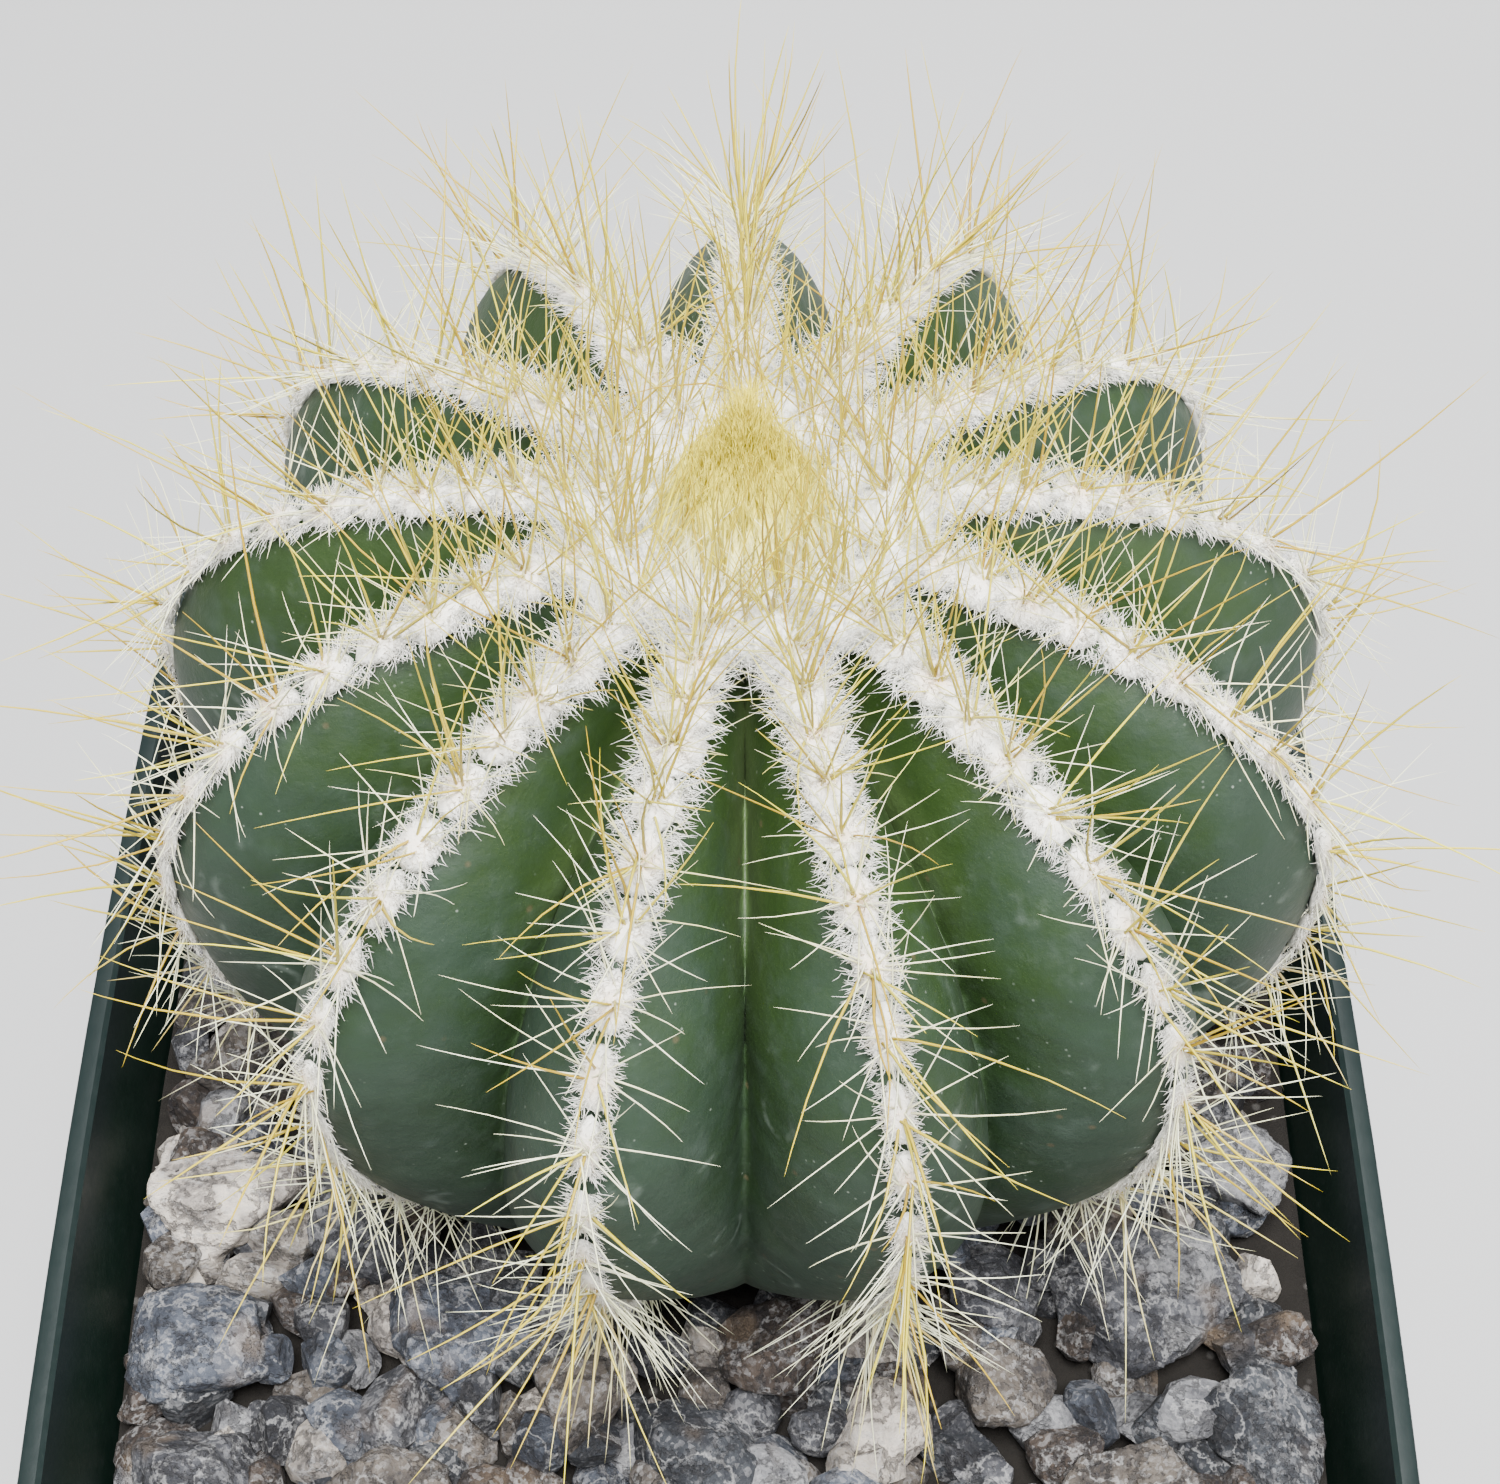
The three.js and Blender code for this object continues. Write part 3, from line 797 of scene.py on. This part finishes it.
def wool_strands(places, rng):
    wool = Strands(WOOL_MODEL)
    for spot, outward, down, sideways, age in zip(*places):
        count = int(WOOL_PER_AREOLE * (1.15 - 0.35 * age))
        young = 1 - smooth_step(age, 0.05, 0.5)
        width, span, height = felt_sizes(age)
        x = rng.choice([-1, 1], count) * rng.uniform(0, 1, count) ** 0.6
        y = rng.uniform(-1, 1, count)
        rise = np.sqrt(np.clip(1 - x**2, 0, 1)) * np.sqrt(1 - 0.8 * y**2)
        root = (
            spot
            + np.outer(x * width * 0.93 * MM, sideways)
            + np.outer(y * span * MM, down)
            + np.outer((rise * height - 0.1) * MM, outward)
        )
        spread = x * 1.3 + rng.normal(0, 0.7, count) * (1 - np.abs(x)) + rng.normal(0, 0.25, count)
        way = (
            np.outer(spread, sideways)
            + np.outer(y * 0.3 + rng.normal(0.05, 0.55, count), down)
            + np.outer(rise * 0.45 + rng.uniform(0.0, 0.4, count), outward)
        )
        length = rng.uniform(0.45, 0.95 + 0.85 * young, count) * MM
        bend = rng.normal(0, 0.25, (count, 3)) - 0.1 * outward
        wave = rng.normal(0, 0.09, (count, 3))
        base = FRESH_WOOL * (1 - age) + OLD_WOOL * age
        heart = (np.exp(-((x / 0.6) ** 2) - (y / 0.5) ** 2) * rng.uniform(0.2, 1, count))[:, None]
        colour = (base * (1 - heart) + PEACH_HEART * heart) * rng.uniform(0.84, 1.05, (count, 1))
        wool.add(root, way, length, rng.uniform(0.026, 0.042, count) * MM, bend, wave, colour, colour)
    return wool.mesh()


# %% [markdown]
# ## Spines
#
# Each areole has a ring of thin whitish radial spines that lie out to the sides, and a few longer,
# stouter golden ones in the middle. Young spines by the crown stand up and are yellow. Old ones at
# the base are pale and droop over the gravel.

# %% Spine rows
CREAM = np.array([0.86, 0.88, 0.68])
STRAW = np.array([0.66, 0.59, 0.045])
GOLD = np.array([0.43, 0.285, 0.006])
AMBER = np.array([0.27, 0.125, 0.006])
UPWARD = np.array([0.0, 0.0, 1.0])


def fan(outward, down, sideways, lean, turn):
    """Directions at an angle of lean from outward, turned round it from down towards sideways."""
    flat = np.outer(np.cos(turn), down) + np.outer(np.sin(turn), sideways)
    return np.cos(lean)[:, None] * outward + np.sin(lean)[:, None] * flat


def blend_colours(first, second, share):
    return first * (1 - share[:, None]) + second * share[:, None]


def spine_row(places, rng):
    spines = Strands(SPINE_MODEL)
    for spot, outward, down, sideways, age in zip(*places):
        young = 1 - smooth_step(age, 0.05, 0.4)
        fresh = 1 - smooth_step(age, 0.2, 0.55)
        old = smooth_step(age, 0.62, 0.95)
        droop = -0.22 * old * UPWARD
        rooted = spot + outward * 0.4 * MM
        count = rng.integers(10, 14) + int(round(3 * young + 4 * old))
        turn = np.linspace(0, 2 * math.pi, count, endpoint=False) + rng.normal(0, 0.22, count)
        lean = np.radians(rng.uniform(50, 80, count) - 16 * young)
        way = fan(outward, down, sideways, lean, turn) + 0.35 * young * UPWARD + droop
        length = rng.uniform(6.5, 10.5, count) * (1 - 0.12 * young) * MM
        share = rng.uniform(0, 0.26 + 0.74 * young, count) * (1 - 0.6 * old)
        colour = blend_colours(CREAM, STRAW, share)
        root = rooted + rng.normal(0, 0.35, (count, 3)) * MM
        bend = rng.normal(0, 0.09, (count, 3)) + droop * 0.8
        wave = np.zeros(3)
        thick = rng.uniform(0.06, 0.085, count) * (1 - 0.15 * young - 0.2 * old) * MM
        spines.add(root, way, length, thick, bend, wave, colour * 0.92, colour)
        count = rng.integers(3, 6) + int(round(3 * young))
        turn = rng.uniform(0, 2 * math.pi, count)
        lean = np.radians(rng.uniform(12, 62, count) - 8 * young)
        way = fan(outward, down, sideways, lean, turn) + 0.4 * young * UPWARD + droop
        length = (rng.uniform(9.5, 15.5, count) * (1 - 0.2 * old) + rng.uniform(0, 4.5, count) * fresh) * MM
        share = np.clip(rng.normal(0.62 - 0.2 * young, 0.3, count), 0, 1)
        pale = old * rng.uniform(0.65, 1, count)
        tip = blend_colours(blend_colours(STRAW, GOLD, share), CREAM, pale)
        foot = blend_colours(blend_colours(STRAW * 0.9, AMBER, share * 0.8), CREAM * 0.9, pale)
        root = rooted + rng.normal(0, 0.3, (count, 3)) * MM
        bend = rng.normal(0, 0.12, (count, 3)) + droop
        thick = rng.uniform(0.095, 0.14, count) * (1 - 0.25 * young - 0.3 * old) * MM
        spines.add(root, way, length, thick, bend, wave, foot, tip)
    return spines.mesh()


# %% Grow the ribs
for rib in range(RIBS):
    rng = np.random.default_rng(100 + rib)
    label = f"{rib + 1:02d}"
    places = areole_places(rib, rng)
    wool = join_meshes(f"rib_wool_{label}", [felt_cushions(places, rng), wool_strands(places, rng)])
    dress(wool, WOOL, "wool_and_spines", f"areole_row_{label}")
    spines = join_meshes(f"rib_spines_{label}", [spine_row(places, rng)])
    dress(spines, SPINE, "wool_and_spines", f"areole_row_{label}")
print("last rib has", len(places[0]), "areoles and", len(spines.data.polygons), "spine faces")

# %% [markdown]
# ## The crown
#
# New areoles open in the hollow of the crown. Their soft hairs lie together as a lemon-yellow cone,
# white at the foot and closed to a point, and young golden spines stand round it. Growth hasn't
# spread them yet. The cone is turned up from a circle, ring by ring, and then given a coat of hair.


# %% Crown tuft
LEMON = np.array([0.78, 0.66, 0.006])
PALE_LEMON = np.array([0.93, 0.88, 0.13])
CONE_RINGS = [
    (9.5, 18.5), (8.3, 22.0), (6.8, 24.4), (5.3, 26.6), (3.9, 28.8), (2.5, 31.0), (1.3, 32.9), (0.4, 34.2)
]
CONE_LEAN = np.array([-0.4, 0.6]) * MM


def crown_ground(x, y):
    """Height of the crown's surface near the axis."""
    out = np.hypot(x, y)
    climb = np.arccos(np.clip(out / CREST_RADIUS, 0, 1) ** (SHOULDER_SQUARENESS / 2))
    return skin_point(0, climb, 0 * climb)[:, 2]


def crown_places(out, rng, lift=0.0):
    """Points of the crown at distances out from the axis, all round it, and the ways out from it."""
    turn = rng.uniform(0, 2 * math.pi, len(out))
    around = np.stack([np.cos(turn), np.sin(turn), 0 * turn], -1)
    x, y = out * np.cos(turn), out * np.sin(turn)
    return np.stack([x + AXIS[0], y + AXIS[1], crown_ground(x, y) + lift], -1), around


def cone_colour(rise):
    """White at the cone's foot and lemon at its point. rise is in metres above the girth."""
    share = smooth_step(rise, 21 * MM, 30 * MM)[:, None]
    middle = FRESH_WOOL * (1 - share) + PALE_LEMON * share
    top = smooth_step(rise, 25 * MM, 33 * MM)[:, None]
    return middle * (1 - top) + LEMON * top


def make_cone():
    """The felted cone, as points, loops, face sizes and colours."""
    first_out, first_rise = CONE_RINGS[0]
    bpy.ops.mesh.primitive_circle_add(vertices=40, radius=first_out * MM, fill_type="NGON")
    cone = bpy.context.object
    bpy.ops.object.mode_set(mode="EDIT")
    bpy.ops.mesh.select_all(action="SELECT")
    out, rise = first_out, first_rise
    for next_out, next_rise in CONE_RINGS[1:]:
        bpy.ops.mesh.extrude_region_move(TRANSFORM_OT_translate={"value": (0, 0, (next_rise - rise) * MM)})
        bpy.ops.transform.resize(value=(next_out / out, next_out / out, 1))
        out, rise = next_out, next_rise
    bpy.ops.object.mode_set(mode="OBJECT")
    faces_out(cone)
    apply_modifier(cone, "SUBSURF", levels=2, render_levels=2)
    spots = corners(cone)
    lean = smooth_step(spots[:, 2], 4 * MM, 16 * MM)[:, None]
    spots[:, :2] += CONE_LEAN * lean
    ripple = np.array([noise.noise(Vector(p) / (1.6 * MM)) for p in spots])
    spots[:, :2] *= (1 + 0.05 * ripple)[:, None]
    set_corners(cone, spots + AXIS + [0, 0, first_rise * MM])
    model = Model(cone)
    return model.points, model.loops, model.totals, cone_colour(model.points[:, 2] - AXIS[2])


def cone_hairs(rng):
    """Fine hairs that lie up the cone, and some that stray from it."""
    hairs = Strands(WOOL_MODEL)
    count = 3400
    outs, rises = (np.array(side) for side in zip(*CONE_RINGS))
    level = rng.uniform(0, 1, count) ** 1.35 * (len(outs) - 1)
    out = np.interp(level, np.arange(len(outs)), outs) * MM
    rise = np.interp(level, np.arange(len(outs)), rises) * MM
    turn = rng.uniform(0, 2 * math.pi, count)
    around = np.stack([np.cos(turn), np.sin(turn), 0 * turn], -1)
    root = around * out[:, None] + AXIS + np.stack([0 * rise, 0 * rise, rise], -1)
    lean = 0.55 * (1 - 0.85 * level / (len(outs) - 1))
    way = UPWARD - around * lean[:, None] + rng.normal(0, 0.13, (count, 3))
    length = rng.uniform(1.5, 4.2, count) * MM
    colour = cone_colour(rise + 1 * MM) * rng.uniform(0.88, 1.06, (count, 1))
    bend = rng.normal(0, 0.1, (count, 3)) + around * 0.12
    hairs.add(root, way, length, rng.uniform(0.03, 0.05, count) * MM, bend, np.zeros(3), colour, colour)
    return hairs.mesh()


def crown_collar(rng):
    """The white fleece round the cone's foot, out to where the ribs begin."""
    wool = Strands(WOOL_MODEL)
    count = 5200
    reach = 13.5 * MM
    out = reach * np.sqrt(rng.uniform(0.2, 1, count))
    root, around = crown_places(out, rng, 0.4 * MM)
    share = (out / reach)[:, None]
    way = UPWARD * (1.1 - 0.5 * share) + around * (1.0 * share - 0.45) + rng.normal(0, 0.45, (count, 3))
    length = rng.uniform(1.3, 3.4, count) * MM
    colour = np.broadcast_to(FRESH_WOOL, (count, 3)) * rng.uniform(0.92, 1.04, (count, 1))
    bend = rng.normal(0, 0.3, (count, 3))
    wave = rng.normal(0, 0.08, (count, 3))
    wool.add(root, way, length, rng.uniform(0.028, 0.045, count) * MM, bend, wave, colour, colour)
    return wool.mesh()


def crown_felt(rng):
    """The solid felt under the fleece."""
    model = CUSHION_MODEL.points
    count = 110
    spots, _ = crown_places(12 * MM * np.sqrt(rng.uniform(0.15, 1, count)), rng, -0.3 * MM)
    size = rng.uniform(1.3, 2.0, (count, 1, 1)) * MM
    points = spots[:, None] + model[None] * (1 + 0.05 * rng.standard_normal((count, len(model), 1))) * size
    return cushion_mesh(points, np.broadcast_to(FRESH_WOOL * 0.97, points.shape))


def crown_spine_strands(rng):
    spines = Strands(SPINE_MODEL)
    count = 200
    reach = 10.5 * MM
    out = reach * rng.uniform(0.25, 1, count) ** 0.6
    root, around = crown_places(out, rng)
    share = (out / reach)[:, None]
    way = UPWARD - around * (0.34 - 0.5 * share * (share > 0.8)) + rng.normal(0, 0.17, (count, 3))
    length = rng.uniform(9, 16.5, count) * MM
    foot = blend_colours(STRAW, AMBER, rng.uniform(0, 0.6, count))
    tip = blend_colours(STRAW, GOLD, rng.uniform(0, 1, count))
    bend = around * 0.12 + rng.normal(0, 0.1, (count, 3))
    spines.add(root, way, length, rng.uniform(0.065, 0.095, count) * MM, bend, np.zeros(3), foot, tip)
    return spines.mesh()


rng = np.random.default_rng(900)
crown_wool = join_meshes("crown_wool", [make_cone(), crown_felt(rng), cone_hairs(rng), crown_collar(rng)])
dress(crown_wool, WOOL, "wool_and_spines", "crown_tuft")
crown_spines = join_meshes("crown_spines", [crown_spine_strands(rng)])
dress(crown_spines, SPINE, "wool_and_spines", "crown_tuft")
print("crown wool has", len(crown_wool.data.polygons), "faces")

# %% [markdown]
# ## The pot
#
# A nursery pot is one thin moulding. It is drawn up by hand from its foot: a square with rounded
# corners, extruded level by level and widened a little each time, turned out into a lip, turned in
# over the rim, and taken down again inside. Four drain holes are cut through the floor at the end.


# %% Pot
def make_pot():
    bpy.ops.mesh.primitive_plane_add(size=2 * POT_FOOT - 1 * MM)
    pot = bpy.context.object
    pot.name = "nursery_pot"
    bpy.ops.object.mode_set(mode="EDIT")
    bpy.ops.mesh.select_all(action="SELECT")
    bpy.ops.mesh.subdivide(number_cuts=9)
    bpy.ops.mesh.select_mode(type="VERT")
    bpy.ops.mesh.select_all(action="DESELECT")
    bpy.ops.object.mode_set(mode="OBJECT")
    half = POT_FOOT - 0.5 * MM
    for vertex in pot.data.vertices:
        vertex.select = abs(abs(vertex.co.x) - half) < 1e-6 and abs(abs(vertex.co.y) - half) < 1e-6
    bpy.ops.object.mode_set(mode="EDIT")
    bpy.ops.mesh.bevel(offset=7 * MM, segments=8, affect="VERTICES")
    bpy.ops.mesh.select_all(action="SELECT")
    levels = [(0.5 * MM, POT_FOOT)]
    levels += [(h * POT_TOP, half_width(h * POT_TOP)) for h in (0.03, 0.25, 0.5, 0.75, 0.93)]
    lip = POT_HALF + POT_LIP
    bottom = POT_TOP - 3 * MM
    levels += [(bottom, half_width(bottom)), (bottom, half_width(bottom) + 0.25 * MM)]
    levels += [(bottom + 0.25 * MM, lip - 0.25 * MM), (bottom + 0.6 * MM, lip), (POT_TOP - 0.6 * MM, lip)]
    levels += [(POT_TOP - 0.2 * MM, lip - 0.15 * MM), (POT_TOP, lip - 0.55 * MM)]
    inner = POT_HALF - POT_WALL
    levels += [(POT_TOP, inner + 0.4 * MM), (POT_TOP - 0.3 * MM, inner)]
    levels += [(h * POT_TOP, half_width(h * POT_TOP) - POT_WALL) for h in (0.93, 0.75, 0.5, 0.25, 0.03)]
    levels += [(1.4 * MM, half_width(1.4 * MM) - POT_WALL - 0.5 * MM)]
    height, width = 0.0, half
    for next_height, next_width in levels:
        move = {"value": (0, 0, next_height - height)}
        bpy.ops.mesh.extrude_region_move(TRANSFORM_OT_translate=move)
        bpy.ops.transform.resize(value=(next_width / width, next_width / width, 1))
        height, width = next_height, next_width
    bpy.ops.object.mode_set(mode="OBJECT")
    faces_out(pot)
    bow_sides(pot)
    cut_drains(pot)
    return pot


def bow_sides(pot):
    """Lets the sides bulge: most at the middle of the rim, and not at all at the corners or the foot."""
    spots = corners(pot)
    half = np.array([half_width(z) for z in spots[:, 2]])
    for axis, other in ((0, 1), (1, 0)):
        wall = np.abs(spots[:, axis]) > half - 2.5 * MM
        along = np.clip(np.abs(spots[:, other]) / half, 0, 1)
        bulge = SIDE_BOW * spots[:, 2] / POT_TOP * (1 - along**2) * wall
        spots[:, axis] += np.sign(spots[:, axis]) * bulge
    set_corners(pot, spots)


def cut_drains(pot):
    for x, y in ((-1, -1), (1, -1), (1, 1), (-1, 1)):
        bpy.ops.mesh.primitive_cylinder_add(
            vertices=32, radius=4.5 * MM, depth=8 * MM, location=(25 * MM * x, 25 * MM * y, 0)
        )
        drill = bpy.context.object
        apply_modifier(pot, "BOOLEAN", operation="DIFFERENCE", object=drill, solver="EXACT")
        bpy.data.objects.remove(drill)


pot = make_pot()
pot_spots = corners(pot)
# The lip's share is where the plastic finish paints its sheen.
lip_share = smooth_step(pot_spots[:, 2], POT_TOP - 3.4 * MM, POT_TOP - 1.2 * MM)
colour_points(pot, "lip", np.repeat(lip_share[:, None], 3, axis=1))
hold(pot)
bpy.ops.object.shade_smooth_by_angle(angle=math.radians(35))
dress(pot, PLASTIC, "pot_plastic", "pot")
print("pot:", len(pot.data.polygons), "faces, wide", np.ptp(pot_spots, axis=0).round(4))

# %% [markdown]
# ## Gravel
#
# Crushed granite breaks along flat faces. Each stone starts as a ball and is cut back by a dozen
# flat cuts, as a hammer would. A voxel remesh then gives it even faces, which noise wears and pits.
# It fills the place of its packed stone. Smaller chips are copies of a few such stones, turned
# every way and strewn between the large ones.

# %% Stones
STONE_COLOURS = {
    "grey": (0.062, 0.063, 0.070),
    "pale": (0.215, 0.215, 0.222),
    "slate": (0.046, 0.050, 0.057),
    "tan": (0.120, 0.102, 0.085),
    "peach": (0.550, 0.490, 0.420),
    "brown": (0.064, 0.048, 0.038),
    "blue": (0.080, 0.090, 0.112),
}
PLACED_COLOURS = (
    "grey slate pale tan peach brown slate tan blue tan grey blue peach grey tan pale tan".split()
)


def broken_ball(rng, cuts, detail):
    """A ball of radius 1 with flat faces broken off it."""
    bpy.ops.mesh.primitive_ico_sphere_add(subdivisions=detail, radius=1)
    rock = bpy.context.object
    bpy.ops.object.mode_set(mode="EDIT")
    for _ in range(cuts):
        normal = unit(rng.normal(0, 1, 3))
        bpy.ops.mesh.select_all(action="SELECT")
        bpy.ops.mesh.bisect(
            plane_co=normal * rng.uniform(0.50, 0.80), plane_no=normal, use_fill=True, clear_outer=True
        )
    bpy.ops.object.mode_set(mode="OBJECT")
    return rock


def fit_to_box(piece, low, high):
    spots = corners(piece)
    old_low, old_high = spots.min(0), spots.max(0)
    set_corners(piece, low + (spots - old_low) / (old_high - old_low) * (high - low))


HOLLOWS = cloudy("broad_hollows", 2.6 * MM, 4)
PITS = cloudy("small_pits", 0.9 * MM)


def make_stone(number, colour):
    rng = np.random.default_rng(500 + number)
    node = f"stone_{number:02d}"
    low, high = (np.array(corner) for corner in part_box(node))
    rock = broken_ball(rng, 12, 3)
    rock.name = f"crushed_{node}"
    grow = np.array([0.07, 0.07, 0.02]) * (high - low)
    fit_to_box(rock, low - grow, high + grow)
    apply_modifier(rock, "REMESH", mode="VOXEL", voxel_size=0.45 * MM)
    apply_modifier(rock, "SMOOTH", factor=0.5, iterations=1)
    displace(rock, HOLLOWS, 0.9 * MM)
    displace(rock, PITS, 0.38 * MM)
    hold(rock)
    bpy.ops.object.shade_smooth()
    tint = np.array(STONE_COLOURS[colour]) * rng.uniform(0.85, 1.15)
    colour_points(rock, "stone_colour", np.tile(tint, (len(rock.data.vertices), 1)))
    dress(rock, GRANITE, "granite", node)
    return rock


stone_nodes = sorted(name for name in frame["nodes"] if name.startswith("stone_"))
STREWN_SHARES = {"grey": 0.34, "pale": 0.16, "slate": 0.14, "tan": 0.16, "blue": 0.12, "peach": 0.08}
strewn_colours = np.random.default_rng(12).choice(
    list(STREWN_SHARES), len(stone_nodes), p=list(STREWN_SHARES.values())
)
stones = []
for number in range(1, len(stone_nodes) + 1):
    placed = number <= len(PLACED_COLOURS)
    stones.append(make_stone(number, PLACED_COLOURS[number - 1] if placed else strewn_colours[number - 1]))
print(len(stones), "stones, the first with", len(stones[0].data.polygons), "faces")


# %% Chips
CHIP_SPACING = 3.9 * MM


def model_chip(seed):
    rock = broken_ball(np.random.default_rng(seed), 8, 2)
    hold(rock)
    bpy.ops.object.mode_set(mode="EDIT")
    bpy.ops.mesh.select_all(action="SELECT")
    bpy.ops.mesh.remove_doubles(threshold=0.22)
    bpy.ops.mesh.quads_convert_to_tris()
    bpy.ops.object.mode_set(mode="OBJECT")
    faces_out(rock)
    return Model(rock)


def strew_chips():
    """An even scatter of smaller stones that lie lower than the large ones and fill between them."""
    rng = np.random.default_rng(77)
    models = [model_chip(seed) for seed in range(30, 36)]
    print("a chip has", len(models[0].totals), "faces")
    names = list(STONE_COLOURS)
    steps = np.arange(-48 * MM, 48 * MM, CHIP_SPACING)
    parts = []
    for x0 in steps:
        for y0 in steps:
            x, y = np.array([x0, y0]) + rng.uniform(-0.5, 0.5, 2) * CHIP_SPACING
            size = rng.uniform(2.5, 4.4) * MM
            limit = half_width(SOIL_TOP) - POT_WALL - 0.8 * size
            x, y = np.clip([x, y], -limit, limit)
            corner = np.hypot(*(np.abs([x, y]) - limit + 6 * MM).clip(0))
            from_plant = math.hypot(x - AXIS[0], y - AXIS[1])
            if corner > 6.3 * MM or from_plant < 0.62 * CREST_RADIUS + size * 0.8:
                continue
            model = models[rng.integers(len(models))]
            shape = np.array([1.0, rng.uniform(0.65, 0.95), rng.uniform(0.55, 0.85)]) * size
            turn = np.array(Matrix.Rotation(rng.uniform(0, 6.3), 3, rng.normal(0, 1, 3)))
            points = (model.points * shape) @ turn.T
            heaped = 2.5 * MM * (1 - smooth_step(from_plant, 30 * MM, 38 * MM))
            top = SOIL_TOP + rng.uniform(3.0, 6.2) * MM + heaped
            points = points + [x, y, top - points[:, 2].max()]
            tint = np.array(STONE_COLOURS[names[rng.integers(len(names))]]) * rng.uniform(0.6, 1.0)
            parts.append((points, model.loops, model.totals, np.tile(tint, (len(points), 1))))
    return parts


def make_chips():
    parts = strew_chips()
    chips = join_meshes("gravel_chips", parts, "stone_colour")
    hold(chips)
    bpy.ops.object.shade_smooth_by_angle(angle=math.radians(28))
    dress(chips, GRANITE, "granite")
    print(len(parts), "chips,", len(chips.data.polygons), "faces")


make_chips()

# %% [markdown]
# ## Soil, floor and the finished part
#
# The soil keeps the shape of its packed block, since only its crumbly top and what shows through
# the drain holes are ever seen. The floor is no part of the object, and it fades out into the studio
# a metre away, so no edge of it shows from low down.

# %% Soil and floor
soil = frame["nodes"]["soil"]
soil.data.materials.clear()
soil.data.materials.append(SOIL)

deselect_all()
bpy.ops.mesh.primitive_plane_add(size=6, location=(0, 0, pot_low[2] - 0.1 * MM))
floor = bpy.context.object
floor.name = "floor"
floor.data.materials.append(make_floor())
deselect_all()

# %% Count the triangles
triangles = sum(
    sum(len(p.vertices) - 2 for p in o.data.polygons)
    for o in bpy.context.scene.objects
    if o.type == "MESH" and not o.hide_render and o is not floor
)
print("the object has", triangles, "triangles")
